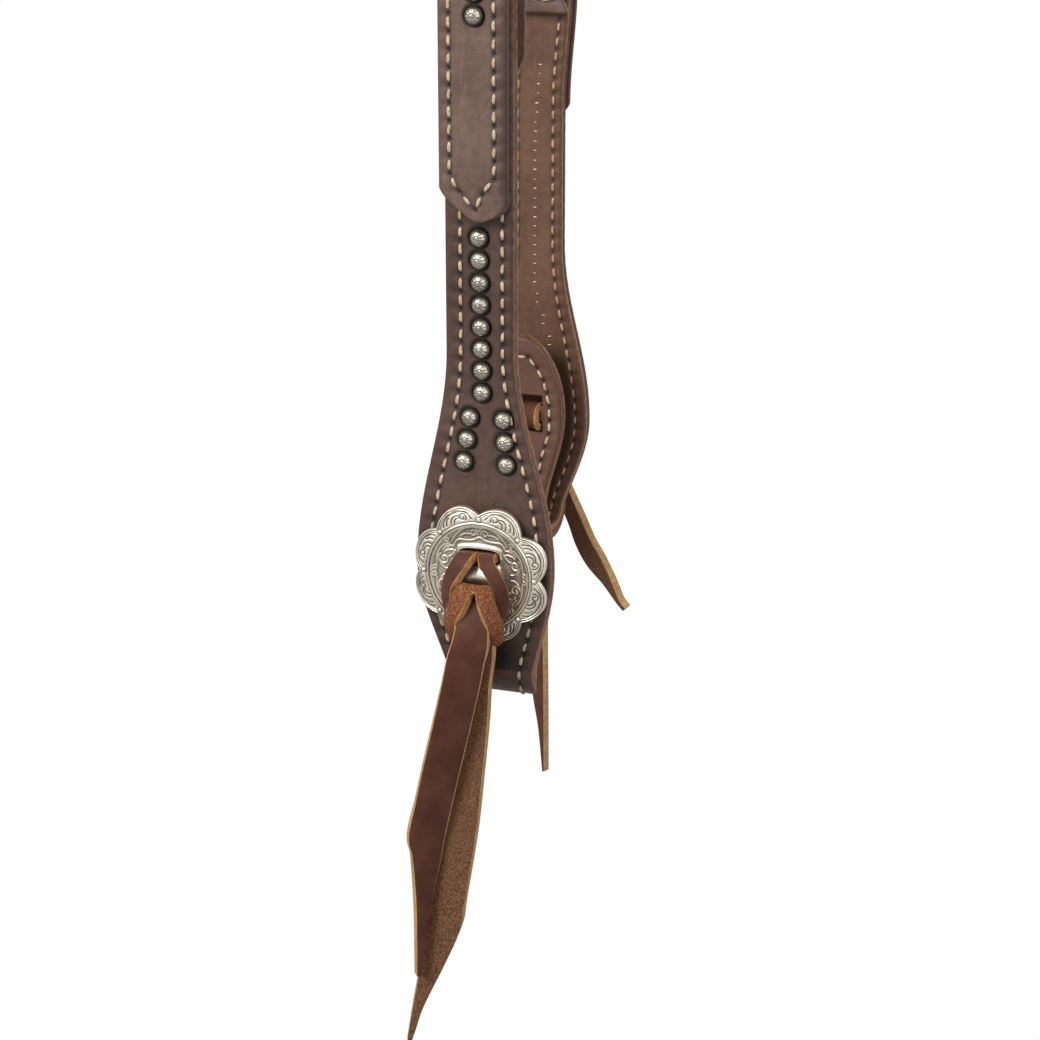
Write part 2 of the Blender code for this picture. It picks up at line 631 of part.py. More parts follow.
def chape_stations():
    """Up the back leg, round the bar and down the front leg to its point."""
    leg = CHEEK_HALF + FIT_GAP + CHAPE_PLY / 2
    wrap = BUCKLE_BAR + FIT_GAP + CHAPE_PLY / 2
    half = STRAP_WIDTH / 2
    stations = [(leg, -CHAPE_BACK_LEG, half, CHAPE_SHIFT)]
    stations += [(leg, -CHEEK_TOP_DROP - wrap, half, CHAPE_SHIFT)]
    stations += [(leg, -CHEEK_TOP_DROP, half, CHAPE_SHIFT)]
    for share in spread(0, 1, 11):
        turn = pi * share
        stations.append((wrap * cos(turn), wrap * sin(turn), half, CHAPE_SHIFT))
    stations += [(-leg, -CHEEK_TOP_DROP, half, CHAPE_SHIFT)]
    stations += [(-leg, -CHEEK_TOP_DROP - wrap, half, CHAPE_SHIFT)]
    for share in spread(0, 1, 9):
        width = half * max(1 - share ** CHAPE_POINT_POWER, FLAP_TIP_SHARE)
        middle = CHAPE_SHIFT + CHAPE_TIP_SHIFT * share
        stations.append((-leg, up(CHAPE_SHOULDER - CHAPE_POINT * share), width, middle))
    return stations


def chape_mesh():
    """The folded chape, with the slot in its fold that the tongue turns in."""
    body = strap("chape", chape_stations(), -CHAPE_PLY / 2, CHAPE_PLY / 2, chamfer_high=EDGE_CHAMFER)
    slot = box_mesh("crew_slot",
                    (-CREW_SLOT_WIDTH / 2, -CHAPE_FACE - CUT_OVERRUN, -CREW_SLOT_HALF),
                    (CREW_SLOT_WIDTH / 2, CHAPE_FACE + CUT_OVERRUN, CREW_SLOT_HALF + CUT_OVERRUN))
    return combine(body, [slot], "DIFFERENCE")


def buckle_point(x, z):
    """The bowed frame stands further out towards its two rails."""
    return (x, -RAIL_OUT * (z / BUCKLE_HALF_HEIGHT) ** 2, z)


def buckle_frame_mesh():
    """A rounded frame of wire, bowed outwards at both rails, with a bar across its middle."""
    points = []
    flat = BUCKLE_HALF_HEIGHT - BUCKLE_CORNER
    for side_x, side_z, start in ((1, -1, -pi / 2), (1, 1, 0), (-1, 1, pi / 2), (-1, -1, pi)):
        middle = (side_x * (BUCKLE_HALF_WIDTH - BUCKLE_CORNER), side_z * flat)
        for share in spread(0, 1, 5):
            turn = start + pi / 2 * share
            points.append(buckle_point(middle[0] + BUCKLE_CORNER * cos(turn),
                                       middle[1] + BUCKLE_CORNER * sin(turn)))
        if side_x * side_z < 0:
            for share in spread(0, 1, 6)[1:-1]:
                points.append(buckle_point(side_x * BUCKLE_HALF_WIDTH, side_z * flat * (1 - 2 * share)))
    frame = bevelled_curve("buckle_frame", points, BUCKLE_WIRE, 2, cyclic=True)
    bar = rod_mesh("bar", BUCKLE_BAR, (-BUCKLE_HALF_WIDTH, 0, 0), (BUCKLE_HALF_WIDTH, 0, 0), 10)
    return combine(frame, [bar], "UNION")


def tongue_neck():
    """The tongue's height where it passes out through the billet."""
    return BUCKLE_BAR + FIT_GAP + TONGUE_WIRE


def tongue_mesh():
    """Wire bent round the bar, out through the billet and up over the top rail."""
    wrap = tongue_neck()
    rest = RAIL_OUT + BUCKLE_WIRE + FIT_GAP + TONGUE_WIRE
    points = []
    for share in spread(0, 1, 12):
        turn = TONGUE_START - TONGUE_WRAP * share
        points.append((0, -wrap * cos(turn), wrap * sin(turn)))
    neck = BILLET_MIDDLE + CROWN_PLY / 2
    route = [points[-1], (0, -neck, wrap), (0, -(neck + rest) / 2, wrap + TONGUE_WIRE),
             (0, -rest + TONGUE_WIRE / 4, BUCKLE_HALF_HEIGHT * TONGUE_REST_SHARE),
             (0, -rest, BUCKLE_HALF_HEIGHT), (0, -rest, BUCKLE_HALF_HEIGHT + TONGUE_PASS)]
    points = points[:-1] + smooth_route(route, 3)
    return bevelled_curve("buckle_tongue", points, TONGUE_WIRE, 2)


def crown_stations(end_height, point):
    """Up from the far billet's tip, over the poll and down to the near billet's tip."""
    half = STRAP_WIDTH / 2
    down = []
    for share in spread(0, 1, 10):
        turn = pi / 2 * share
        y = POLL_FLAT / 2 + ARCH_RADIUS * sin(turn)
        down.append((y, CROWN_INSIDE - ARCH_RADIUS * (1 - cos(turn)), half))
    shoulder = end_height + point
    down.append((CROWN_REACH, shoulder, half))
    if point:
        for share in spread(0, 1, 6)[1:]:
            width = half * max(sqrt(1 - share ** 2), FLAP_TIP_SHARE)
            down.append((CROWN_REACH, shoulder - point * share, width))
    stations = [(y, z, w, -CHEEK_SIDE * y / CROWN_REACH) for y, z, w in reversed(down)]
    stations += [(-y, z, w, CHEEK_SIDE * y / CROWN_REACH) for y, z, w in down]
    return stations


def billet_holes():
    """Oblong holes through both billets; the tongue sits in one and needs room to swing."""
    drop = (BILLET_MIDDLE + CROWN_PLY / 2) * sin(TONGUE_SWING)
    clear = TONGUE_WIRE + LACE_CLEARANCE
    cutters = []
    for side in (-1, 1):
        for i in range(-BILLET_HOLES_BELOW, BILLET_HOLES_ABOVE + 1):
            z = tongue_neck() - BUCKLE_DROP + i * BILLET_HOLE_PITCH
            x = -side * CHEEK_SIDE
            low = (x - BILLET_HOLE_WIDTH / 2, side * CROWN_REACH - CROWN_PLY, z - clear - drop)
            high = (x + BILLET_HOLE_WIDTH / 2, side * CROWN_REACH + CROWN_PLY, z + clear)
            cutters.append(box_mesh("hole", low, high))
    return cutters


def slip_ear_mesh():
    """Two sleeves that slide on the crown, joined by the strap that goes round the ear."""
    half_x = STRAP_WIDTH / 2 + EAR_SIDE_CLEARANCE
    inner_y = CROWN_REACH - CROWN_INSIDE - EAR_FACE_CLEARANCE
    outer_y = CROWN_REACH + CROWN_PLY / 2 + EAR_FACE_CLEARANCE
    middle_y = (inner_y + outer_y) / 2
    wall = half_x + EAR_PLY / 2
    span = EAR_LOWER_DROP - EAR_UPPER_DROP
    centre = -(EAR_UPPER_DROP + EAR_LOWER_DROP) / 2
    route = []
    for share in spread(-1, 1, 19):
        turn = pi / 2 * share
        route.append((-wall - (EAR_REACH - wall) * cos(turn), centre - span / 2 * sin(turn)))
    rings = []
    for (x, z), (run_x, run_z) in zip(route, tangents(route)):
        ring = []
        for a, b in ((-1, -1), (-1, 1), (1, 1), (1, -1)):
            ring.append((x - CHEEK_SIDE + run_z * a * EAR_PLY / 2, middle_y + b * EAR_STRAP_WIDTH / 2,
                         z - run_x * a * EAR_PLY / 2))
        rings.append(ring)
    ear = loft("slip_ear", rings)
    outers, inners = [], []
    for drop in (EAR_UPPER_DROP, EAR_LOWER_DROP):
        low, high = -drop - EAR_SLEEVE_HEIGHT / 2, -drop + EAR_SLEEVE_HEIGHT / 2
        outers.append(box_mesh("sleeve", (-CHEEK_SIDE - half_x - EAR_PLY, inner_y - EAR_PLY, low),
                               (-CHEEK_SIDE + half_x + EAR_PLY, outer_y + EAR_PLY, high)))
        inners.append(box_mesh("sleeve_way", (-CHEEK_SIDE - half_x, inner_y, low - CUT_OVERRUN),
                               (-CHEEK_SIDE + half_x, outer_y, high + CUT_OVERRUN)))
    return combine(combine(ear, outers, "UNION"), inners, "DIFFERENCE")


def spot_places():
    """Each cheek spot's place on the strap: (x, height)."""
    places = []
    for i in range(SINGLE_SPOTS):
        share = i / (SINGLE_SPOTS - 1)
        rise = (SINGLE_SPOTS - 1 - i) * SPOT_PITCH
        places.append((SINGLE_SHIFT + SINGLE_DRIFT * share, LOWEST_SINGLE + rise))
    for row in range(PAIR_ROWS):
        height = HIGHEST_PAIR - row * SPOT_PITCH
        apart = (PAIR_SPREAD + row * PAIR_OPENING) / 2
        places += [(PAIR_SHIFT - apart, height), (PAIR_SHIFT + apart, height)]
    return places


def lean(height):
    """The turn about X that lays a spot on the bulging cheek."""
    step = SPOT_PITCH / 2
    return -(bulge(height - step) - bulge(height + step)) / (2 * step)


# Routes of the free tails below the knot, as (x, y, height)
FRONT_TAIL = {
    "near": [(-0.0004, -0.0187, 0.012), (-0.0030, -0.0175, 0.0), (-0.0065, -0.0165, -0.015),
             (-0.0090, -0.0160, -0.027), (-0.0116, -0.0158, -0.038), (-0.0134, -0.0157, -0.060),
             (-0.0150, -0.0157, -0.083)],
    "far": [(-0.0022, -0.0190, 0.012), (-0.0090, -0.0185, 0.002), (-0.0145, -0.0180, -0.009),
            (-0.0200, -0.0178, -0.018), (-0.0262, -0.0176, -0.028)],
}
BACK_TAIL = {
    "near": [(0.0014, -0.0146, 0.010), (0.0007, -0.0134, -0.002), (-0.0008, -0.0124, -0.020),
             (-0.0026, -0.0120, -0.037), (-0.0064, -0.0118, -0.058), (-0.0110, -0.0118, -0.078),
             (-0.0160, -0.0118, -0.094), (-0.0192, -0.0118, -0.106)],
    "far": [(0.0030, -0.0146, 0.008), (0.0034, -0.0136, -0.010), (0.0030, -0.0130, -0.035),
            (0.0015, -0.0128, -0.062), (0.0, -0.0128, -0.092)],
}
FRONT_TAPER_SHARE = {"near": 0.62, "far": 0.72}
BACK_TAPER_SHARE = {"near": 0.72, "far": 0.60}

LEATHER = (CHOCOLATE, 0.62, 0.0)
LINING = (LINING_BROWN, 0.72, 0.0)
LACE = (LATIGO, 0.55, 0.0)
SILVER = (ANTIQUE_SILVER, 0.32, 1.0)

clear_scene()
PARTS = new_collection("western_headstall")
WORK = new_collection("cutters")

# Crown, with the ear strap sliding on its far side
crown = strap("crown_strap", crown_stations(-BUCKLE_DROP - BILLET_TAIL, BILLET_POINT),
              -CROWN_PLY / 2, CROWN_PLY / 2, EDGE_CHAMFER, EDGE_CHAMFER)
crown = combine(crown, billet_holes(), "DIFFERENCE")
place("crown_strap", crown, None, LEATHER)
doubling = strap("crown_lining", crown_stations(LINING_ABOVE_BUCKLE - BUCKLE_DROP, 0),
                 -CROWN_INSIDE, -CROWN_PLY / 2 - FIT_GAP, chamfer_low=EDGE_CHAMFER)
place("crown_lining", doubling, None, LINING)
ear_pivot = pivot("slip_ear_pivot", (-CHEEK_SIDE, CROWN_REACH, -EAR_UPPER_DROP))
place("slip_ear", slip_ear_mesh(), ear_pivot, LEATHER, at=Matrix.Translation(-ear_pivot.location))

# The pieces that both sides share
lace_room = lace_strip("lace_room", lace_loop_route(), LACE_WIDTH, LACE_CLEARANCE)
cheek_route = cheek_stations()
outer_ply = strap("cheek_strap", cheek_route, FIT_GAP / 2, CHEEK_HALF, chamfer_high=EDGE_CHAMFER)
outer_ply = combine(outer_ply, [lace_room.copy()], "DIFFERENCE")
inner_ply = strap("cheek_lining", cheek_route, -CHEEK_HALF, -FIT_GAP / 2, chamfer_low=EDGE_CHAMFER)
inner_ply = combine(inner_ply, [lace_room.copy()], "DIFFERENCE")
concho = combine(concho_mesh(), concho_slots(), "DIFFERENCE")
knot = knot_mesh()
chape = chape_mesh()
frame = buckle_frame_mesh()
tongue = tongue_mesh()
spot = spot_mesh()

for side, sign in (("near", -1), ("far", 1)):
    bar_place = Vector((-sign * CHEEK_SIDE, sign * CHEEK_MIDDLE, -BUCKLE_DROP))
    turn = 0.0 if side == "near" else pi
    fixed = pivot(side + "_buckle_place", bar_place, turn=turn)
    place(side + "_buckle_frame", frame, fixed, SILVER)
    tongue_pivot = pivot(side + "_tongue_pivot", bar_place, turn=turn)
    place(side + "_buckle_tongue", tongue, tongue_pivot, SILVER)
    cheek_pivot = pivot(side + "_cheek_pivot", bar_place, turn=turn)
    place(side + "_chape", chape, cheek_pivot, LEATHER)
    place(side + "_cheek_strap", outer_ply, cheek_pivot, LEATHER)
    place(side + "_cheek_lining", inner_ply, cheek_pivot, LINING)
    place(side + "_concho", concho, cheek_pivot, SILVER)
    place(side + "_tie_lace", knot, cheek_pivot, LACE)
    for i, (x, height) in enumerate(spot_places(), start=1):
        seat = Vector((x, -(CHEEK_HALF + FIT_GAP + bulge(height)), up(height)))
        at = Matrix.Translation(seat) @ Matrix.Rotation(lean(height), 4, "X")
        place(f"{side}_cheek_spot_{i:02d}", spot, cheek_pivot, SILVER, at)
    for i in range(CHAPE_SPOTS):
        height = LOWEST_CHAPE_SPOT + i * SPOT_PITCH
        seat = Vector((CHAPE_SHIFT, -(CHAPE_FACE + FIT_GAP), up(height)))
        place(f"{side}_chape_spot_{i + 1}", spot, cheek_pivot, SILVER, Matrix.Translation(seat))
    knot_hinge = Vector((0, -(KNOT_FRONT + LACE_THICK / 2 + FIT_GAP), up(KNOT_BOTTOM)))
    tail_pivot = pivot(side + "_tail_pivot", knot_hinge, cheek_pivot)
    at = Matrix.Translation(-knot_hinge)
    front_tail = tail_mesh("lace_tail_front", KNOT_FRONT, FRONT_TAIL[side], FRONT_TAPER_SHARE[side])
    place(side + "_lace_tail_front", front_tail, tail_pivot, LACE, at)
    back_tail = tail_mesh("lace_tail_back", KNOT_BACK, BACK_TAIL[side], BACK_TAPER_SHARE[side])
    place(side + "_lace_tail_back", back_tail, tail_pivot, LACE, at)
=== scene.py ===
"""Looks of the western headstall: leather, thread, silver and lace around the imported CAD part.

Lengths are in metres, in the part's own frame: the poll seat is the origin and Z is up. A cheek
is drawn once, hanging from its buckle's bar with its grain side towards -Y, and set in place twice.
"""
import json
from math import cos, pi, radians, sin

import bmesh
import bpy
import numpy as np
from mathutils import Matrix, Vector
from mathutils.kdtree import KDTree


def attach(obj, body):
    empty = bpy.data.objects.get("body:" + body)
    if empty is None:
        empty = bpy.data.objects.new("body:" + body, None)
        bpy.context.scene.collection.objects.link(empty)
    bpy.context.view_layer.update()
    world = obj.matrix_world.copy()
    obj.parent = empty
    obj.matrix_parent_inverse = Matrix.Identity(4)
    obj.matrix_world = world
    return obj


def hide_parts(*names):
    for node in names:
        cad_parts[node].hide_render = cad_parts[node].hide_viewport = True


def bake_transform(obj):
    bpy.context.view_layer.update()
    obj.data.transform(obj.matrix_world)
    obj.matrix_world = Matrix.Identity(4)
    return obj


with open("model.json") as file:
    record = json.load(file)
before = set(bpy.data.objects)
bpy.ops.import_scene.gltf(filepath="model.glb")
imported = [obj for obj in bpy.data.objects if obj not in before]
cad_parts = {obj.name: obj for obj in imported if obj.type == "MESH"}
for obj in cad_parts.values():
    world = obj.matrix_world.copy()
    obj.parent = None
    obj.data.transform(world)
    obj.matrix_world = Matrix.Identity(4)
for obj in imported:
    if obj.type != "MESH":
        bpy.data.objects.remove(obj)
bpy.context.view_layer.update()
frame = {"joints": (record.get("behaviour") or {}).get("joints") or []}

# The camera: a long lens, a little above the bit loops and forward of the near cheek.
# Its place and turn follow from where the concho, spots and folds of both cheeks stand.
def placed(name, data):
    """A new object in the scene."""
    obj = bpy.data.objects.new(name, data)
    bpy.context.scene.collection.objects.link(obj)
    return obj


lens = placed("camera", bpy.data.cameras.new("camera"))
bpy.context.scene.camera = lens
lens.location = (0.24613, -0.68702, -0.20175)
lens.rotation_euler = (radians(90 - 17.904), 0, radians(19.504))
lens.data.sensor_width = 36
lens.data.lens = 87.156
lens.data.clip_start = 0.02

# The light: one broad soft panel high on the left, a weaker one on the right, and a pale
# surround. The camera and the silver's mirror see the surround differently.
def feed(node, inputs):
    """A node with its inputs linked to other sockets or given a value."""
    for key, value in inputs.items():
        if isinstance(value, bpy.types.NodeSocket):
            node.id_data.links.new(value, node.inputs[key])
        else:
            node.inputs[key].default_value = value
    return node


def add_node(tree, kind, inputs, **settings):
    node = tree.nodes.new(kind)
    for key, value in settings.items():
        setattr(node, key, value)
    return feed(node, inputs)


def ramp(inputs):
    return add_node(sky, "ShaderNodeMapRange", inputs).outputs["Result"]


world = bpy.data.worlds.new("studio")
bpy.context.scene.world = world
world.use_nodes = True
sky = world.node_tree
ray = add_node(sky, "ShaderNodeLightPath", {}).outputs
toward = add_node(sky, "ShaderNodeTexCoord", {}).outputs["Generated"]
upward = add_node(sky, "ShaderNodeSeparateXYZ", {0: toward}).outputs["Z"]
lit = ramp({"Value": upward, "From Min": -0.7, "To Min": 0.54, "To Max": 1.15})
mirrored = ramp({"Value": ray["Is Glossy Ray"], "To Min": 0.32, "To Max": lit})
seen = ramp({"Value": ray["Is Camera Ray"], "To Min": mirrored, "To Max": 1})
feed(sky.nodes["Background"], {"Color": (1, 1, 1, 1), "Strength": seen})
bpy.context.scene.view_settings.view_transform = "Standard"


def panel(name, place, aim, width, height, power, tint):
    """A soft rectangular light, not part of the object."""
    lamp = bpy.data.lights.new(name, "AREA")
    lamp.shape = "RECTANGLE"
    lamp.size, lamp.size_y = width, height
    lamp.energy = power
    lamp.color = tint
    obj = placed(name, lamp)
    obj.location = place
    obj.rotation_mode = "QUATERNION"
    obj.rotation_quaternion = (Vector(aim) - Vector(place)).to_track_quat("-Z", "Y")


panel("key_panel", (-0.55, -1.00, 0.55), (0, -0.05, -0.38), 0.7, 0.9, 19, (1.0, 0.985, 0.96))
panel("fill_panel", (0.95, -0.75, 0.10), (0, -0.03, -0.38), 0.9, 1.0, 5, (0.97, 0.985, 1.0))
panel("back_panel", (0.30, 0.90, 0.20), (0, 0.05, -0.35), 0.7, 0.7, 4, (1.0, 1.0, 1.0))

# Crown: one long strap of bridle leather over the poll, doubled by a lining on its inner side.
# Its two punched ends are the billets, which pass through the buckles. The helpers for every
# strap and every finish start here.
STRAP_WIDTH, CHEEK_LENGTH = 0.01905, 0.266
HINGES = {joint["name"]: Vector(joint["pos_m"]) for joint in frame["joints"] if "pos_m" in joint}
SIDES = {"near": Matrix.Translation(HINGES["near_cheek_swing"]),
         "far": Matrix.Translation(HINGES["far_cheek_swing"]) @ Matrix.Rotation(pi, 4, "Z")}


def ease(share):
    return 0.5 - 0.5 * np.cos(pi * np.clip(share, 0, 1))


def hump(distance, width):
    return np.exp(-(distance / width) ** 2)


def part_way(start, end, share):
    return start + (end - start) * share


def around(count):
    """Even turns round a circle."""
    return np.arange(count) * 2 * pi / count


def lengths(points):
    """How far along a line each of its points is."""
    return np.append(0, np.cumsum(np.linalg.norm(np.diff(points, axis=0), axis=1)))


def points_at(points, at):
    """Points on a line at lengths along it."""
    steps = lengths(points)
    return np.column_stack([np.interp(at, steps, column) for column in np.transpose(points)])


def route_of(y, z, half, middle):
    """A strap's route from close points: its run, its facing and the length along it."""
    along = lengths(np.column_stack([y, z]))
    run_y, run_z = np.gradient(y, along), np.gradient(z, along)
    size = np.hypot(run_y, run_z)
    return {"y": y, "z": z, "half": half, "middle": middle, "along": along,
            "run_y": run_y / size, "run_z": run_z / size}


def on_route(route, where, depth):
    """Points on a strap from places (across it, along it) and a depth towards its grain side."""
    y, z, run_y, run_z, middle = (np.interp(where[..., 1], route["along"], route[key])
                                  for key in ("y", "z", "run_y", "run_z", "middle"))
    return np.stack([middle + where[..., 0], y + depth * run_z, z - depth * run_y], -1)


def mesh_of(points, groups, marks=None):
    """A mesh from points and groups of faces, its normals outwards, with values at its points."""
    mesh = bpy.data.meshes.new("mesh")
    sizes = np.concatenate([np.full(len(group), group.shape[1]) for group in groups])
    corners = np.concatenate([group.ravel() for group in groups])
    mesh.vertices.add(len(points))
    mesh.vertices.foreach_set("co", np.asarray(points, np.float32).ravel())
    mesh.loops.add(len(corners))
    mesh.loops.foreach_set("vertex_index", corners.astype(np.int32))
    mesh.polygons.add(len(sizes))
    mesh.polygons.foreach_set("loop_start", (np.cumsum(sizes) - sizes).astype(np.int32))
    mesh.update(calc_edges=True)
    for key, values in (marks or {}).items():
        layer = mesh.attributes.new(key, "FLOAT", "POINT")
        layer.data.foreach_set("value", np.asarray(values, np.float32))
    shell = bmesh.new()
    shell.from_mesh(mesh)
    bmesh.ops.recalc_face_normals(shell, faces=shell.faces)
    shell.to_mesh(mesh)
    shell.free()
    mesh.shade_smooth()
    mesh.set_sharp_from_angle(angle=radians(55))
    return mesh


def slab(top, bottom, marks):
    """A closed skin between two grids of points; marks are two grids of values for each name."""
    rows, columns = top.shape[:2]
    points = np.concatenate([top.reshape(-1, 3), bottom.reshape(-1, 3)])
    under = rows * columns
    grid = np.arange(under).reshape(rows, columns)
    a, b, c, d = grid[:-1, :-1], grid[:-1, 1:], grid[1:, 1:], grid[1:, :-1]
    cells = np.stack([a, b, c, d], -1).reshape(-1, 4)
    rim = np.concatenate([grid[0], grid[1:, -1], grid[-1, -2::-1], grid[-2:0:-1, 0]])
    after = np.roll(rim, -1)
    walls = np.stack([rim, after, after + under, rim + under], -1)
    faces = [np.concatenate([cells, cells[:, ::-1] + under, walls])]
    values = {key: np.concatenate([np.ravel(pair[0]), np.ravel(pair[1])]) for key, pair in marks.items()}
    return mesh_of(points, faces, values)


def columns_of(half, inner):
    """Places across a strap, close together near both edges: (rows, columns)."""
    edge = np.array([0, 0.12, 0.35, 0.7, 1.1, 1.6, 2.1, 2.5, 2.8,
                     3.05, 3.3, 3.55, 3.8, 4.1, 4.5, 5, 5.6]) / 1000
    half = half[:, None]
    left = edge * np.minimum(1, half / 0.0085)
    share = np.linspace(0, 1, inner + 2)[1:-1]
    middle = left[:, -1:] + 2 * (half - left[:, -1:]) * share
    return np.concatenate([left, middle, 2 * half - left[:, ::-1]], 1) - half


def nearest(where, targets):
    """From each place on a grid to the nearest of some points, or far off without any."""
    if not len(targets):
        return np.full(where.shape[:-1], 1.0)
    tree = KDTree(len(targets))
    for i, target in enumerate(targets):
        tree.insert((*target, 0), i)
    tree.balance()
    gaps = [tree.find((*place, 0))[2] for place in where.reshape(-1, 2).tolist()]
    return np.reshape(gaps, where.shape[:-1])


class Finish:
    """A procedural finish, built node by node."""

    def __init__(self, name):
        self.material = bpy.data.materials.new(name)
        self.material.use_nodes = True
        self.where = self.add("TexCoord").outputs["Object"]

    def add(self, kind, inputs=None, **settings):
        return add_node(self.material.node_tree, "ShaderNode" + kind, inputs or {}, **settings)

    def noise(self, scale, detail=4, roughness=0.55, stretch=None):
        """Cloudy values, about 0 to 1, so many to the metre."""
        where = self.where
        if stretch:
            where = self.add("Mapping", {"Vector": where, "Scale": stretch}).outputs["Vector"]
        inputs = {"Vector": where, "Scale": scale, "Detail": detail, "Roughness": roughness}
        return self.add("TexNoise", inputs).outputs["Fac"]

    def mark(self, name):
        return self.add("Attribute", attribute_name=name).outputs["Fac"]

    def sum(self, operation, a, b=0.0, clamp=False):
        return self.add("Math", {0: a, 1: b}, operation=operation, use_clamp=clamp).outputs[0]

    def span(self, value, low, high, to_low=0.0, to_high=1.0):
        return self.add("MapRange", {"Value": value, "From Min": low, "From Max": high,
                                     "To Min": to_low, "To Max": to_high}).outputs["Result"]

    def mix(self, share, a, b):
        """Between two colours, sRGB when typed."""
        inputs = {"Factor": share, 6: a, 7: b}
        for key in (6, 7):
            if isinstance(inputs[key], tuple):
                shares = np.array(inputs[key]) / 255
                inputs[key] = (*np.where(shares > 0.04, ((shares + 0.055) / 1.055) ** 2.4, shares / 12.92), 1)
        return self.add("Mix", inputs, data_type="RGBA", clamp_factor=True).outputs[2]

    def bump(self, height, strength, distance, under=None):
        inputs = {"Height": height, "Strength": strength, "Distance": distance}
        if under:
            inputs["Normal"] = under
        return self.add("Bump", inputs).outputs["Normal"]

    def set(self, **values):
        shader = self.material.node_tree.nodes["Principled BSDF"]
        feed(shader, {key.replace("_", " "): value for key, value in values.items()})
        return self.material


def leather(name, dark, light, burnish, worn, fibre, shade_and_burn=(22, 14, 11)):
    """Oiled strap leather: cloudy dye, fine grain, painted shade in its grooves and holes, burnished edges
    and fibrous sides.
    """
    f = Finish(name)
    fine = f.sum("MULTIPLY", f.noise(420, 5, 0.6), 0.45)
    clouds = f.sum("ADD", f.sum("MULTIPLY", f.noise(55, 3), 0.55), fine)
    base = f.mix(f.span(clouds, 0.36, 0.64), dark, light)
    streak = f.noise(900, 3, 0.6, stretch=(1, 1, 0.12))
    base = f.mix(f.span(streak, 0.56, 0.74, 0, 0.35), base, worn)
    base = f.mix(f.sum("MULTIPLY", f.mark("rubbed"), 0.32), base, (140, 94, 76))
    edge = f.mark("edge")
    base = f.mix(f.sum("MULTIPLY", edge, f.span(f.noise(260, 4), 0.35, 0.62, 0.55, 1.0), True), base, burnish)
    ragged = f.sum("SUBTRACT", f.span(f.noise(700, 4, 0.65), 0.36, 0.64), f.mark("raw"), True)
    layers = f.mix(ragged, fibre, burnish)
    base = f.mix(f.span(edge, 0.72, 0.93), base, layers)
    # The groove mark paints shade and shadow: near-black in awl holes and stitch grooves, round the spots,
    # inside the bit loop and below the concho; on the chape it also darkens the burnt rear edge.
    base = f.mix(f.mark("groove"), base, shade_and_burn)
    pebbles = f.add("TexVoronoi", {"Vector": f.where, "Scale": 2300}).outputs["Distance"]
    grain = f.sum("ADD", pebbles, f.sum("MULTIPLY", f.noise(1500, 4, 0.65), 0.9))
    pores = f.bump(grain, 0.32, 0.00018)
    creases = f.bump(f.noise(170, 5, 0.62), 0.42, 0.0008, pores)
    rough = f.span(f.noise(700, 3), 0.3, 0.7, 0.46, 0.62)
    return f.set(Base_Color=base, Roughness=rough, Normal=creases, Specular_IOR_Level=0.30,
                 Coat_Weight=0.06, Coat_Roughness=0.35)


# Painted shade: the bridle leather is drawn darker than its lit copy on the chapes, for the shade on the
# flared cheeks.
bridle = leather("bridle_leather", (68, 49, 41), (94, 71, 61), (78, 50, 38), (106, 84, 74), (116, 74, 54))
lining_finish = leather("lining_leather", (92, 65, 50), (116, 85, 67), (88, 62, 42), (128, 96, 77),
                        (154, 106, 70), (56, 37, 25))


def lean(mesh, side):
    """Neither cheek hangs quite straight: the far one leans, the near one's loop is folded askew."""
    points = np.empty(len(mesh.vertices) * 3, np.float32)
    mesh.vertices.foreach_get("co", points)
    x, y, z = points.reshape(-1, 3).T
    low = 1 - ease((z + CHEEK_LENGTH) / 0.020)
    if side == "far":
        x -= 0.0023 * ease((z + 0.123) / 0.040) * (1 - ease((z + 0.075) / 0.055))
        z += 0.0007 * low
    else:
        x -= 0.0034 * ease((y + 0.002) / 0.008) * (1 - ease((z + 0.232) / 0.020))
        z += 0.0016 * low * (y > -0.013)
    mesh.vertices.foreach_set("co", points)


def show(name, mesh, body, finish, replaced=(), side=""):
    """A finished piece on its CAD body; names that start with a low line are the side's own."""
    def own(title):
        return side + title if title.startswith("_") else title

    mesh = mesh.copy()
    if side:
        lean(mesh, side)
        mesh.transform(SIDES[side])
    mesh.name = own(name)
    mesh.materials.clear()
    mesh.materials.append(finish)
    obj = placed(own(name), mesh)
    if body:
        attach(obj, own(body))
    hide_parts(*(own(title) for title in replaced))
    return obj


def merged(meshes):
    """Several meshes as one."""
    whole = bmesh.new()
    for mesh in meshes:
        whole.from_mesh(mesh)
    result = bpy.data.meshes.new("merged")
    whole.to_mesh(result)
    whole.free()
    return result


def finished(obj, source):
    """What an object's modifiers make of it; it and their source are removed."""
    bpy.context.view_layer.update()
    result = bpy.data.meshes.new_from_object(obj.evaluated_get(bpy.context.evaluated_depsgraph_get()))
    for each in (obj, source):
        bpy.data.objects.remove(each)
    return result


def cut(mesh, tools):
    """A mesh with other closed meshes taken out of it."""
    body, knife = placed("cut_body", mesh), placed("cut_tool", merged(tools))
    step = body.modifiers.new("cut", "BOOLEAN")
    step.operation = "DIFFERENCE"
    step.solver = "EXACT"
    step.object = knife
    return finished(body, knife)


def prism(ring, low, high):
    """A cutter across a strap: its section (x, z), from one place on Y to another."""
    i = np.arange(len(ring))
    j = np.roll(i, -1)
    points = np.concatenate([np.insert(np.array(ring, float), 1, y, axis=1) for y in (low, high)])
    return mesh_of(points, [np.stack([i, j, j + len(i), i + len(i)], 1), np.stack([i, i + len(i)])])


def box(x, half, low, high):
    return [(x - half, low), (x + half, low), (x + half, high), (x - half, high)]


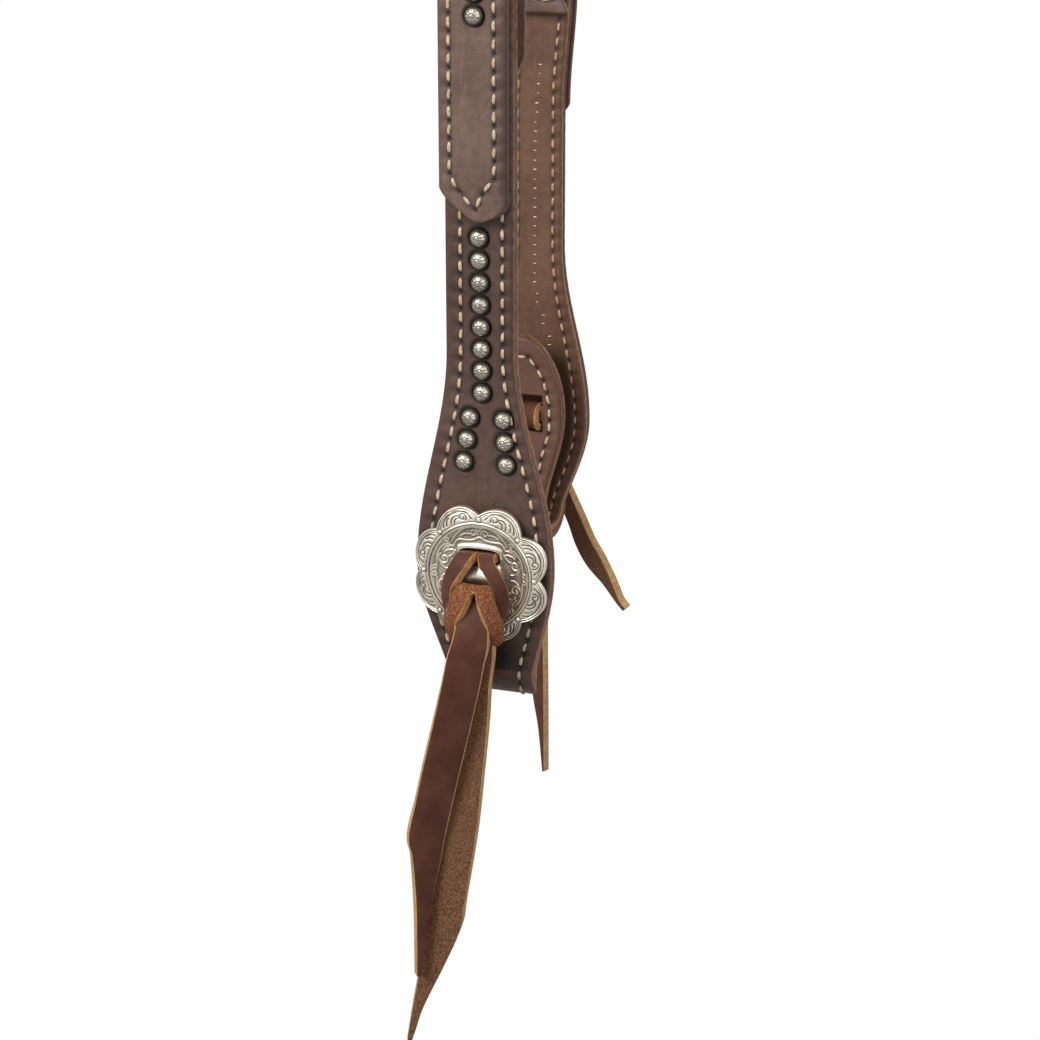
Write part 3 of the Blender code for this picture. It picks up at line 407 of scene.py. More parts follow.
def oval(x, half, low, high):
    turns = np.linspace(0, pi, 9)
    across, along = half * np.cos(turns), half * np.sin(turns)
    return np.concatenate([np.column_stack([x + across, high - half + along]),
                           np.column_stack([x - across, low + half - along])])


def blank(where, edge):
    """Nothing pressed into a face, and nothing dark or raw on it."""
    return 0 * edge, 0 * edge


def fall(radius, edge):
    """How far a rounded edge falls off, at a distance in from it."""
    inside = np.clip(radius - edge, 0, radius)
    return radius - np.sqrt(np.maximum(radius ** 2 - inside ** 2, 0))


def strap_mesh(route, low, high, round_high, round_low, inner=20, step=0.0006,
               relief=blank, relief_low=blank, ends=(0, 0), raw=blank):
    """A ply of leather: a fine grid on each face, rounded edges, and what is pressed into it."""
    length = route["along"][-1]
    along = np.linspace(0, length, int(length / step) + 1)
    half = np.interp(along, route["along"], route["half"])
    across = columns_of(half, inner)
    edge = np.minimum(half[:, None] - np.abs(across), 1.0)
    for end, start in zip(ends, (True, False)):
        if end:
            gap = along if start else length - along
            edge = np.minimum(edge, np.maximum(gap[:, None], 0) * end)
    where = np.stack([across, np.broadcast_to(along[:, None], across.shape)], -1)
    if callable(round_high):
        round_high = round_high(where)
    press, groove = relief(where, edge)
    press_low, groove_low = relief_low(where, edge)
    bare, rubbed = raw(where, edge)
    worn = np.exp(-edge / 0.0007)
    top = on_route(route, where, high - fall(round_high, edge) - press)
    bottom = on_route(route, where, low + fall(round_low, edge) + press_low)
    return slab(top, bottom, {"edge": (worn, worn), "groove": (groove, groove_low),
                              "raw": (bare, bare), "rubbed": (rubbed, 0 * rubbed)})


SEAM = 0.0003
CROWN_REACH, CROWN_ARCH, CROWN_FLAT, CROWN_TOP, CROWN_PLY = 0.0778, 0.0628, 0.015, 0.0042, 0.0026
BILLET_END, BILLET_POINT, DOUBLING_END = -0.245, 0.012, -0.165
DOUBLING_HIGH = -CROWN_PLY / 2 - SEAM
DOUBLING_LOW = DOUBLING_HIGH - CROWN_PLY
HOLE_HALF, HOLE_TALL, HOLE_PITCH = 0.0020, 0.0049, 0.019


def crown_route(end, point):
    """From the far billet's tip over the poll to the near one's."""
    arch = np.linspace(0, pi / 2, 60)
    tip = np.sin(np.linspace(0, pi / 2, 24))[1:] if point else np.zeros(0)
    y = np.concatenate([CROWN_FLAT + CROWN_ARCH * np.sin(arch), np.full(39 + len(tip), CROWN_REACH)])
    z = np.concatenate([CROWN_TOP - CROWN_ARCH * (1 - np.cos(arch)),
                        np.linspace(CROWN_TOP - CROWN_ARCH, end + point, 40)[1:], end + point * (1 - tip)])
    half = STRAP_WIDTH / 2 * np.concatenate([np.ones(99), np.maximum((1 - tip ** 2) ** 0.5, 0.08)])
    y, z, half = (np.concatenate(pair) for pair in ((y[::-1], -y), (z[::-1], z), (half[::-1], half)))
    return route_of(y, z, half, -HINGES["near_cheek_swing"].x * y / CROWN_REACH)


INSET, PITCH = 0.0036, 0.0046


def legs_of(corners):
    return list(zip(corners, corners[1:]))


def pitched(legs, pitch):
    """Awl holes at even steps along a seam, one at each corner between its legs."""
    places = []
    for leg in legs:
        end = lengths(leg)[-1]
        places.append(points_at(leg, np.linspace(0, end, max(round(end / pitch), 1) + 1))[:-1])
    return np.concatenate(places + [leg[-1:]])


def sewn(seam, seats, ring=0.0027, loop=False):
    """What thread and spots press into a face: (depth pressed, painted shade in the awl holes, along the
    groove, at the puckers, round each spot and, for a loop, inside the bit loop).
    """
    holes = pitched(seam, PITCH)
    outward = np.sign(holes[:, :1]) * 0.0015
    puckers = holes + np.concatenate([outward, 0 * outward], 1)
    dense = pitched(seam, 0.0005)

    def press(where, edge):
        targets = (dense, holes, seats, puckers)
        to_line, to_hole, to_seat, to_pucker = (nearest(where, spots) for spots in targets)
        depth = 0.00016 * hump(to_line, 0.0009) + 0.00042 * hump(to_hole, 0.00062)
        depth += 0.00034 * hump(to_pucker, 0.0012) - 0.00012 * hump(to_seat - 0.0037, 0.0007)
        past_seat = np.maximum(to_seat - ring, 0)
        depth += 0.00055 * hump(past_seat, 0.00035)
        # Painted shade: dark in the awl holes, along the stitch groove, at the puckers and in a wide ring
        # round each spot's seat.
        dark = 1.05 * hump(to_hole, 0.00064) + 0.30 * hump(to_line, 0.0008)
        dark += 0.16 * hump(to_pucker, 0.0010)
        dark += 0.8 * hump(to_seat - ring, 0.00040) + 0.40 * hump(past_seat, 0.0009)
        # Painted shade: the lining inside the bit loop, behind the flap, is darkened as deep shade.
        if loop:
            inside = ease((where[..., 1] - run_at(0.070)) / 0.012) * ease((edge - 0.0038) / 0.0014)
            dark += 0.92 * inside * (where[..., 1] < FLAP_START)
        return depth, np.minimum(dark, 1)

    return press


crown = crown_route(BILLET_END, BILLET_POINT)
seam_x, start = STRAP_WIDTH / 2 - INSET, DOUBLING_END - BILLET_END + 0.004
end = crown["along"][-1] - start
CROWN_SEAM = legs_of([(-seam_x, start), (-seam_x, end), (seam_x, end), (seam_x, start), (-seam_x, start)])
crown_mesh = strap_mesh(crown, -CROWN_PLY / 2, CROWN_PLY / 2, 0.0009, 0.0007, 14, 0.0007,
                        sewn(CROWN_SEAM, []))
holes = []
for place in SIDES.values():
    x, y, z = place.translation
    y = np.copysign(CROWN_REACH, y)
    for low in z + 0.0004 + HOLE_PITCH * np.arange(-1, 4):
        holes.append(prism(oval(x, HOLE_HALF, low, low + HOLE_TALL), y - 0.004, y + 0.004))
show("crown_leather", cut(crown_mesh, holes), "crown", bridle, ["crown_strap"])
doubling = crown_route(DOUBLING_END, 0)
under_seam = [[(x, run - (DOUBLING_END - BILLET_END)) for x, run in leg] for leg in CROWN_SEAM]
doubling_mesh = strap_mesh(doubling, DOUBLING_LOW, DOUBLING_HIGH, 0.0001, 0.0009, 14, 0.0007,
                           blank, sewn(under_seam, []))
show("crown_doubling", doubling_mesh, "crown", lining_finish, ["crown_lining"])

# Slip ear: a strap of bridle leather that goes round the horse's ear. A sleeve at each end of it
# slides on the crown, and a row of stitches holds strap and sleeve together.
EAR_PLY, EAR_WIDTH, EAR_REACH, EAR_HIGH, EAR_LOW, SLEEVE = 0.0024, 0.014, 0.044, -0.0840, -0.146, 0.014
EAR_ROUND, EAR_INSET = 0.0008, 0.0022
CROWN_X = HINGES["far_cheek_swing"].x
EAR_INNER, EAR_OUTER = CROWN_REACH - 0.0047, CROWN_REACH + CROWN_PLY / 2 + 0.0005
EAR_MIDDLE, EAR_SIDE = (EAR_INNER + EAR_OUTER) / 2, STRAP_WIDTH / 2 + 0.0008


def skin(rings, marks=None, closed=False):
    """A skin over rings of points, which closes on the first of them or is drawn to two points."""
    rings = np.asarray(rings)
    grid = np.arange(rings.shape[0] * rings.shape[1]).reshape(rings.shape[:2])
    start, end = (grid, np.roll(grid, -1, 0)) if closed else (grid[:-1], grid[1:])
    faces = [np.stack([start, np.roll(start, -1, 1), np.roll(end, -1, 1), end], -1).reshape(-1, 4)]
    if not closed:
        faces += [np.stack([np.full_like(ring, grid.size + i), ring, np.roll(ring, -1)], 1)
                  for i, ring in enumerate(grid[[0, -1]])]

    def listed(values):
        values = np.asarray(values)
        flat = values.reshape(grid.size, *values.shape[2:])
        return flat if closed else np.concatenate([flat, values[[0, -1]].mean(1)])

    return mesh_of(listed(rings), faces, {key: listed(values) for key, values in (marks or {}).items()})


def rounded_loop(half_x, half_y, corner, count=24):
    """Points and outward directions round a rectangle with round corners."""
    turns = np.linspace([-pi / 2, 0, pi / 2, pi], [0, pi / 2, pi, pi * 1.5], count).T
    ways = np.stack([np.cos(turns), np.sin(turns)], -1)
    middles = np.array([(1, -1), (1, 1), (-1, 1), (-1, -1)])[:, None] * (half_x - corner, half_y - corner)
    return (middles + corner * ways).reshape(-1, 2), ways.reshape(-1, 2)


def sleeve_mesh(middle_z):
    """A flat strap closed round the crown."""
    half_y = (EAR_OUTER - EAR_INNER) / 2
    places, ways = rounded_loop(EAR_SIDE + EAR_PLY / 2, half_y + EAR_PLY / 2, 0.0018)
    face = np.linspace(-1, 1, 21)
    edge = (1 - np.abs(face)) * SLEEVE / 2
    outer = EAR_PLY / 2 - fall(EAR_ROUND, edge) - 0.00022 * hump(edge - EAR_INSET, 0.0006)
    depth = np.concatenate([outer, np.full(21, -EAR_PLY / 2)])
    rings = np.empty((len(places), 42, 3))
    rings[..., :2] = places[:, None] + ways[:, None] * depth[:, None]
    rings[..., 2] = np.concatenate([face, face[::-1] * 0.97]) * SLEEVE / 2
    rings += (CROWN_X, EAR_MIDDLE, middle_z)
    worn = np.tile(hump(edge, 0.0006), (len(places), 2))
    # Painted shade along the sleeve's stitch groove.
    dark = np.tile(np.concatenate([0.6 * hump(edge - EAR_INSET, 0.0004), 0 * edge]), (len(places), 1))
    return skin(rings, {"edge": worn, "groove": dark}, closed=True)


turn = np.linspace(-pi / 2, pi / 2, 160)
wall = EAR_SIDE + EAR_PLY / 2
ear_out = -part_way(wall, EAR_REACH, np.cos(turn))
ear_level = part_way(EAR_HIGH, EAR_LOW, 0.5 + 0.5 * np.sin(turn))
ear_route = route_of(ear_out, ear_level, np.full(160, EAR_WIDTH / 2), np.zeros(160))
ear_end = ear_route["along"][-1] - 0.001
ear_x = EAR_WIDTH / 2 - EAR_INSET
ear_seam = [[(-ear_x, 0.001), (-ear_x, ear_end)], [(ear_x, ear_end), (ear_x, 0.001)]]
ear_mesh = strap_mesh(ear_route, -EAR_PLY / 2, EAR_PLY / 2, EAR_ROUND, EAR_ROUND, 12, 0.0006,
                      sewn(ear_seam, []))
ear_place = Matrix.Translation((CROWN_X, EAR_MIDDLE, 0)) @ Matrix.Rotation(-pi / 2, 4, "Z")
ear_mesh.transform(ear_place)
whole = merged([ear_mesh, sleeve_mesh(EAR_HIGH), sleeve_mesh(EAR_LOW)])
show("slip_ear_leather", whole, "slip_ear", bridle, ["slip_ear"])

# Cheeks: a ply of bridle leather and a brown lining, sewn together and folded up at the bottom
# into the bit loop. The fold's tip lies inside, behind the concho. Stitches sit in a groove, and
# the spots are pressed in, so that the leather swells round both.
CHEEK_TOP_DROP, PLY = 0.0085, 0.00265
CHEEK_HALF = PLY + SEAM / 2
FLARE_WIDTH, FLARE_HEIGHT, FLARE_TOP, FLARE_SHIFT = 0.0387, 0.040, 0.100, 0.0022
CHEEK_BULGE, LOOP_WIDTH, LOOP_SHIFT = 0.0040, 0.0226, 0.0040
FOLD_RADIUS = 0.005 + CHEEK_HALF
FOLD_HEIGHT = FOLD_RADIUS + CHEEK_HALF
FLAP_WIDTH, FLAP_WIDE_HEIGHT, FLAP_TIP_HEIGHT = 0.0257, 0.045, 0.0717
FLAP_SHIFT, FLAP_CURL = -0.0010, 0.0015
SLOT_WIDTH, SLOT_HEIGHT = 0.0108, 0.0030
CONCHO_X, CONCHO_HEIGHT, CONCHO_RADIUS = 0.0025, 0.0393, 0.0199
SLOT_HIGH, SLOT_LOW = CONCHO_HEIGHT + 0.0052, CONCHO_HEIGHT - 0.0050
FLAP_SLOT_X, FLAP_SLOT_LOW, FLAP_SLOT_HIGH = -0.0022, 0.0420, 0.0506
SPOT_PITCH = 0.00603
SEAM_TOP, SEAM_TIP, SEAM_WIDE = 0.245, 0.0664, 0.0090


def flare(height):
    return ease((FLARE_TOP - height) / (FLARE_TOP - FLARE_HEIGHT))


def cheek_half(height):
    upper = part_way(STRAP_WIDTH, FLARE_WIDTH, flare(height))
    lower = part_way(LOOP_WIDTH, FLARE_WIDTH, ease(height / FLARE_HEIGHT))
    return np.where(height >= FLARE_HEIGHT, upper, lower) / 2


def flap_half(height, wide, tip):
    low = ease((height - FOLD_HEIGHT) / (FLAP_WIDE_HEIGHT - FOLD_HEIGHT))
    high = np.clip((height - FLAP_WIDE_HEIGHT) / (tip - FLAP_WIDE_HEIGHT), 0, 1)
    upper = wide * np.maximum((1 - high ** 2) ** 0.58, 0.04)
    return np.where(height <= FLAP_WIDE_HEIGHT, part_way(LOOP_WIDTH / 2, wide, low), upper)


def cheek_route():
    down = np.linspace(CHEEK_LENGTH - CHEEK_TOP_DROP, FOLD_HEIGHT, 500)
    turn = np.linspace(0, pi, 60)[1:]
    high = np.linspace(0, 1, 60)[1:]
    rise = np.concatenate([np.linspace(FOLD_HEIGHT, FLAP_WIDE_HEIGHT, 60)[1:],
                           part_way(FLAP_WIDE_HEIGHT, FLAP_TIP_HEIGHT, np.sin(pi / 2 * high))])
    curl = FLAP_CURL * ease((rise - FLAP_SLOT_HIGH) / (FLAP_TIP_HEIGHT - FLAP_SLOT_HIGH))
    y = np.concatenate([-CHEEK_BULGE * flare(down), FOLD_RADIUS * (1 - np.cos(turn)) - CHEEK_BULGE,
                        2 * FOLD_RADIUS - CHEEK_BULGE + curl])
    level = np.concatenate([down, FOLD_HEIGHT - FOLD_RADIUS * np.sin(turn), rise])
    bend = ease(turn / pi)
    flap = flap_half(np.append(FOLD_HEIGHT, rise), FLAP_WIDTH / 2, FLAP_TIP_HEIGHT)
    half = np.concatenate([cheek_half(down), part_way(cheek_half(FOLD_HEIGHT), flap[0], bend), flap[1:]])
    low = part_way(LOOP_SHIFT, FLARE_SHIFT, ease(down / FLARE_HEIGHT))
    low = np.where(down >= FLARE_HEIGHT, FLARE_SHIFT * flare(down), low)
    back = ease((rise - FOLD_HEIGHT) / (FLAP_WIDE_HEIGHT - FOLD_HEIGHT))
    middle = np.concatenate([low, part_way(low[-1], LOOP_SHIFT, bend),
                             part_way(LOOP_SHIFT, FLAP_SHIFT, back)])
    route = route_of(y, level - CHEEK_LENGTH, half, middle)
    route["down"], route["fold_end"] = down, len(down) + len(turn) - 1
    return route


CHEEK = cheek_route()
FLAP_START = CHEEK["along"][CHEEK["fold_end"]]


def run_at(height):
    """How far along the route a height on the cheek itself is."""
    down = CHEEK["down"]
    return np.interp(-height, -down, CHEEK["along"][:len(down)])


def flap_run(height):
    z = CHEEK["z"][CHEEK["fold_end"]:] + CHEEK_LENGTH
    return np.interp(height, z, CHEEK["along"][CHEEK["fold_end"]:])


def seam_line(shift):
    """The seam from the top, down the front edge, round the bit loop and flap, and back up."""
    rise = np.linspace(FOLD_HEIGHT, SEAM_TIP, 60)
    run = np.concatenate([np.linspace(run_at(SEAM_TOP), FLAP_START, 400)[:-1], flap_run(rise)])
    half = np.interp(run, CHEEK["along"], CHEEK["half"]) - INSET
    inner = flap_half(rise, SEAM_WIDE, SEAM_TIP) - 0.0020 * ease((0.042 - rise) / 0.012)
    half[-60:] = np.where(rise > 0.03, inner, np.minimum(half[-60:], inner + 0.0008))
    middle = shift(run) * (1 - ease((run - run_at(0.06)) / 0.03))
    left, right = (np.column_stack([middle + edge * half, run]) for edge in (-1, 1))
    return [np.concatenate([left, right[-2::-1]])]


SEAMS = {"near": seam_line(lambda run: 0.0009 + 0 * run),
         "far": seam_line(lambda run: -0.0010 * (1 - ease((run - run_at(0.1)) / 0.05)))}
SPOTS = [(0.0002 + i * SPOT_PITCH * 0.0200, 0.1308 - i * SPOT_PITCH) for i in range(8)]
SPOTS += [(0.0025 + side * (0.00475 + row * 0.00065), 0.0815 - row * 0.0061)
          for row in range(3) for side in (-1, 1)]
SEATS = [(x - np.interp(run_at(h), CHEEK["along"], CHEEK["middle"]), run_at(h)) for x, h in SPOTS]


def lace_cuts():
    """Cutters for the four slots that the lace goes through."""
    for height, x, y, tall in ((SLOT_HIGH, CONCHO_X, -0.004, SLOT_HEIGHT / 2),
                               (SLOT_LOW, CONCHO_X, -0.004, SLOT_HEIGHT / 2),
                               (FLAP_SLOT_HIGH, FLAP_SLOT_X, 0.0116, 0.0018),
                               (FLAP_SLOT_LOW, FLAP_SLOT_X, 0.0116, 0.0018)):
        z = height - CHEEK_LENGTH
        yield prism(box(x, SLOT_WIDTH / 2, z - tall, z + tall), y - 0.005, y + 0.005)


def shaded_below_concho(press):
    """Painted shadow of the concho and lace: the grain below the concho, where the lace lies on it, is
    darkened.
    """
    def both(where, edge):
        depth, dark = press(where, edge)
        across, run = where[..., 0], where[..., 1]
        # Painted shadow of the concho and lace on the cheek below them.
        painted_shadow = 1.15 * hump(run - run_at(0.0150), 0.0080) * hump(across - 0.002, 0.0085)
        return depth, np.minimum(dark + painted_shadow * (run < run_at(0.002)), 1)
    return both


def frayed(where, edge):
    """The sides are left raw round the bit loop, and the flap's grain is rubbed."""
    run = where[..., 1]
    sides = 0.9 * ease((run - run_at(0.030)) / 0.010) * (1 - ease((run - flap_run(0.03)) / 0.01))
    return sides, ease((run - FLAP_START) / 0.010)


SLOT_TOOLS = list(lace_cuts())
for side in SIDES:
    press, back = shaded_below_concho(sewn(SEAMS[side], SEATS)), sewn(SEAMS[side], [], loop=True)
    outer = strap_mesh(CHEEK, SEAM / 2, CHEEK_HALF, 0.0010, 0.0001, 26, 0.00055,
                       press, blank, (0, 1), frayed)
    inner = strap_mesh(CHEEK, -CHEEK_HALF, -SEAM / 2, 0.0001, 0.0009, 16, 0.0007,
                       blank, back, (0, 1), frayed)
    show("_cheek_leather", cut(outer, SLOT_TOOLS), "_cheek", bridle,
         ["_cheek_strap"], side)
    show("_cheek_back", cut(inner, SLOT_TOOLS), "_cheek", lining_finish,
         ["_cheek_lining"], side)

# Thread: one waxed cream thread along each seam, seen as a short spindle between two awl holes,
# on the grain side and on the lining. The concho, lace and chapes hide the rest of it.
def scatter(places, along, out, tool, seed, turn, low=1.0, high=1.0):
    """Copies of a small mesh on points, turned by each point's own two directions."""
    mesh = bpy.data.meshes.new("points")
    mesh.vertices.add(len(places))
    mesh.vertices.foreach_set("co", np.asarray(places, np.float32).ravel())
    for key, values in (("along", along), ("out", out)):
        layer = mesh.attributes.new(key, "FLOAT_VECTOR", "POINT")
        layer.data.foreach_set("vector", np.asarray(values, np.float32).ravel())
    obj, source = placed("scatter_points", mesh), placed("scatter_tool", tool)
    tree = bpy.data.node_groups.new("scatter", "GeometryNodeTree")
    for way in ("INPUT", "OUTPUT"):
        tree.interface.new_socket("Geometry", in_out=way, socket_type="NodeSocketGeometry")

    def chance(least, most):
        inputs = {2: least, 3: most, "Seed": seed}
        return add_node(tree, "FunctionNodeRandomValue", inputs).outputs[1]

    points = add_node(tree, "NodeGroupInput", {}).outputs[0]
    up, ahead = (add_node(tree, "GeometryNodeInputNamedAttribute", {"Name": key},
                          data_type="FLOAT_VECTOR").outputs["Attribute"] for key in ("out", "along"))
    facing = add_node(tree, "FunctionNodeAxesToRotation", {0: up, 1: ahead},
                      primary_axis="Z", secondary_axis="X").outputs[0]
    spin = add_node(tree, "ShaderNodeCombineXYZ", {"Z": chance(-turn, turn)}).outputs[0]
    turned = add_node(tree, "FunctionNodeRotateRotation", {0: facing, 1: spin}, rotation_space="LOCAL")
    picked = add_node(tree, "GeometryNodeObjectInfo", {"Object": source}).outputs["Geometry"]
    copies = add_node(tree, "GeometryNodeInstanceOnPoints",
                      {"Points": points, "Instance": picked, "Rotation": turned.outputs[0],
                       "Scale": chance(low, high)})
    real = add_node(tree, "GeometryNodeRealizeInstances", {0: copies.outputs[0]})
    add_node(tree, "NodeGroupOutput", {0: real.outputs[0]})
    obj.modifiers.new("copies", "NODES").node_group = tree
    return finished(obj, source)


def spindle(length, width, thick):
    """One stitch: a twist of thread, thick in the middle and drawn down at both ends."""
    shares = np.linspace(-1, 1, 15)
    body = (1 - np.abs(shares) ** 2.6) ** 0.5 * 0.88 + 0.12
    return skin([[(length / 2 * s, width / 2 * b * cos(t),
                   thick * (b * (0.30 + 0.5 * sin(t)) - 0.55 * abs(s) ** 3)) for t in around(10)]
                 for s, b in zip(shares, body)])


def thread_finish(name, dark, light, soiled):
    """Waxed thread: fine twisted strands, and a little dye rubbed off the leather."""
    f = Finish(name)
    strands = f.noise(1500, 3, 0.6, stretch=(1, 1, 0.5))
    base = f.mix(f.span(strands, 0.35, 0.70), dark, light)
    base = f.mix(f.span(f.noise(330, 2), 0.50, 0.72, 0, 0.6), base, soiled)
    return f.set(Base_Color=base, Roughness=0.72, Specular_IOR_Level=0.3,
                 Normal=f.bump(f.noise(2600, 2, 0.5, stretch=(1, 1, 0.6)), 0.35, 0.0003))


def sew(route, seams, depth, tool, seed, after=0.0, low=0.92):
    """The visible stitches on one face of a strap, each midway between two awl holes."""
    rows = []
    for seam in seams:
        holes = pitched(seam, PITCH)
        middles, steps = (holes[:-1] + holes[1:]) / 2, np.diff(holes, axis=0)
        kept = middles[:, 1] > after
        middles, steps = middles[kept], steps[kept]
        ahead = middles + steps / np.hypot(*steps.T)[:, None] * 0.0008
        here, front = on_route(route, middles, depth), on_route(route, ahead, depth)
        above = on_route(route, middles, depth * 1.5)
        rows.append((here, front - here, above - here))
    at, along, out = (np.concatenate(parts) for parts in zip(*rows))
    return scatter(at, along, out, tool, seed, 0.10, low, 1.05)


THREAD = thread_finish("waxed_thread", (172, 148, 122), (226, 208, 182), (190, 152, 118))
INNER_THREAD = thread_finish("lining_thread", (160, 124, 94), (210, 178, 146), (160, 112, 78))
STITCH, INNER_STITCH = spindle(0.0028, 0.00100, 0.00055), spindle(0.0027, 0.00090, 0.00048)
CHAPE_TIP, CHAPE_POINT, CHAPE_BACK_LEG = 0.1350, 0.0093, 0.093
INNER_END = run_at(CHEEK_LENGTH - CHAPE_BACK_LEG)
for side in SIDES:
    for title, depth, end, tool, finish in (
            ("_cheek_thread", CHEEK_HALF, run_at(0.1385), STITCH, THREAD),
            ("_back_thread", -CHEEK_HALF, INNER_END, INNER_STITCH, INNER_THREAD)):
        sewing = sew(CHEEK, [SEAMS[side]], depth * 1.01, tool, 11, end)
        show(title, sewing, "_cheek", finish, (), side)

sewing = sew(crown, [CROWN_SEAM], CROWN_PLY / 2 * 1.04, STITCH, 13)
show("crown_thread", sewing, "crown", THREAD)
sewing = sew(doubling, [under_seam], DOUBLING_LOW, INNER_STITCH, 13)
show("doubling_thread", sewing, "crown", INNER_THREAD)
sewing = sew(ear_route, [[leg] for leg in ear_seam], EAR_PLY / 2 * 1.04, STITCH, 13)
sewing.transform(ear_place)
show("ear_thread", sewing, "slip_ear", THREAD)

# Chapes: a folded piece of the same leather round the buckle's bar, its front leg cut to a point
# and sewn down along both edges and across in a V; its back leg ends square on the lining.
CHAPE_PLY, CHAPE_SHIFT, CHAPE_TIP_SHIFT, BAR = 0.0026, -0.0006, 0.0007, 0.0020
LOWEST_CHAPE_SPOT = CHAPE_TIP + CHAPE_POINT + 0.0447
CHAPE_INSET, CHAPE_APEX = 0.0033, 0.1388


def chape_route():
    leg, wrap = CHEEK_HALF + SEAM + CHAPE_PLY / 2, BAR + SEAM + CHAPE_PLY / 2
    turn = np.linspace(0, pi, 60)
    share = np.linspace(0, 1, 40)[1:]
    back = np.linspace(-CHAPE_BACK_LEG, -CHEEK_TOP_DROP, 60)
    front = np.linspace(-CHEEK_TOP_DROP, CHAPE_TIP + CHAPE_POINT - CHEEK_LENGTH, 80)
    taper_y, taper_z = np.linspace((leg, -CHEEK_TOP_DROP), (wrap, 0), 8)[1:-1].T
    y = np.concatenate([np.full(60, leg), taper_y, wrap * np.cos(turn), -taper_y[::-1],
                        np.full(119, -leg)])
    z = np.concatenate([back, taper_z, wrap * np.sin(turn), taper_z[::-1], front,
                        front[-1] - CHAPE_POINT * share])
    half = np.full(len(y), STRAP_WIDTH / 2)
    front_edge, rear_edge = 1 - share ** 1.5, 1 - share ** 4.5
    half[-39:] *= np.maximum((front_edge + rear_edge) / 2, 0.05)
    middle = np.full(len(y), CHAPE_SHIFT)
    middle[:60] += 0.0019 * ease((back + 0.093) / 0.006) * (1 - ease((back + 0.045) / 0.03))
    middle[-39:] += CHAPE_TIP_SHIFT * share + STRAP_WIDTH / 4 * (rear_edge - front_edge)
    return route_of(y, z, half, middle)


CHAPE = chape_route()
FRONT_LENGTH = CHAPE["along"][-1]


def chape_run(height):
    """Along the chape's front leg at a height above the bit loop."""
    return FRONT_LENGTH - (height - CHAPE_TIP)


edge_x = STRAP_WIDTH / 2 - CHAPE_INSET
corners = [(-edge_x, 0.240), (-edge_x, 0.1480), (-0.0013, CHAPE_APEX), (edge_x, 0.1471), (edge_x, 0.240)]
v_line = legs_of([(x, chape_run(h)) for x, h in corners])
top, low = CHAPE_BACK_LEG - 0.030, 0.0046
back_line = legs_of([(-edge_x, top), (-edge_x, low), (edge_x, low), (edge_x, top)])
seats = [(0.0008, chape_run(LOWEST_CHAPE_SPOT + i * SPOT_PITCH)) for i in range(5)]
front_press, back_press = sewn(v_line, seats), sewn(back_line, [])


def chape_round(where):
    """The chape's edges are skived, most of all round the lower rear of its point."""
    rear, low = ease((where[..., 0] - 0.002) / 0.004), ease((where[..., 1] - chape_run(0.150)) / 0.006)
    return 0.0011 + rear * part_way(0.0004, 0.0014, low)


def chape_relief(where, edge):
    front, back = front_press(where, edge), back_press(where, edge)
    burnt = 0.42 * ease((where[..., 0] - 0.0066) / 0.0014) * ease((where[..., 1] - chape_run(0.20)) / 0.02)
    return front[0] + back[0], np.maximum(np.maximum(front[1], back[1]), burnt)


chape_mesh = strap_mesh(CHAPE, -CHAPE_PLY / 2, CHAPE_PLY / 2, chape_round, 0.0001, 24, 0.00055,
                        chape_relief, ends=(1, 1))
tongue_slot = prism(box(0, 0.0023, -0.0068, 0.0088), -0.010, 0.010)
chape_mesh = cut(chape_mesh, [tongue_slot])
# Painted light: the chape's leather is the same bridle leather drawn lighter and greyer, for the light and
# sheen that the chape catches.
chape_lit_copy = leather("chape_leather", (92, 71, 62), (122, 99, 88), (84, 58, 45), (136, 113, 102), (124, 84, 62))
chape_thread = sew(CHAPE, (v_line, back_line), CHAPE_PLY / 2 + 0.00005, STITCH, 12, low=0.93)
for side in SIDES:
    show("_chape_leather", chape_mesh, "_cheek", chape_lit_copy, ["_chape"], side)
    show("_chape_thread", chape_thread, "_cheek", THREAD, (), side)

# Spots: domed nickel spots, chased like a daisy and blackened in the cuts. Two prongs of each
# pass through both plies and are clenched on the lining, where their ends show as bright dashes.
def silver(name, bright, dark, rough):
    """Antique silver plate: bright on top, blackened in the cuts, scuffed all over."""
    f = Finish(name)
    recess = f.mark("recess")
    patina = f.span(f.noise(260, 4, 0.6), 0.40, 0.72, 0.0, 0.30)
    tarnish = f.sum("ADD", recess, patina, True)
    base = f.mix(tarnish, bright, dark)
    scuffs = f.noise(2400, 3, 0.7)
    roughness = f.sum("ADD", f.span(scuffs, 0.3, 0.7, rough - 0.06, rough + 0.08),
                      f.sum("MULTIPLY", tarnish, 0.22), True)
    metal = f.sum("SUBTRACT", 1.0, f.sum("MULTIPLY", recess, 0.35), True)
    return f.set(Base_Color=base, Metallic=metal, Roughness=roughness,
                 Normal=f.bump(scuffs, 0.10, 0.0001, f.bump(f.noise(500, 3), 0.12, 0.0004)))


def chased_dome(radius, rise, lip):
    """A daisy-chased dome: ten petals round a boss, with a plain lip."""
    turns = around(48)
    share = np.concatenate([[1.0, 1.0], np.linspace(0.985, 0.04, 19)])[:, None]
    petals = hump(share - 0.60, 0.27) * (1 - np.abs(np.sin(turns * 5))) ** 3
    cut_in = petals + 0.9 * hump(share - 0.90, 0.035) + 0.7 * hump(share - 0.30, 0.05)
    level = rise * (1 - share ** 2.3) ** 0.62 - 0.00020 * cut_in
    level[0] = -lip
    rings = np.stack([radius * share * np.cos(turns), radius * share * np.sin(turns), level], -1)
    return skin(rings, {"recess": np.clip(cut_in, 0, 1)})


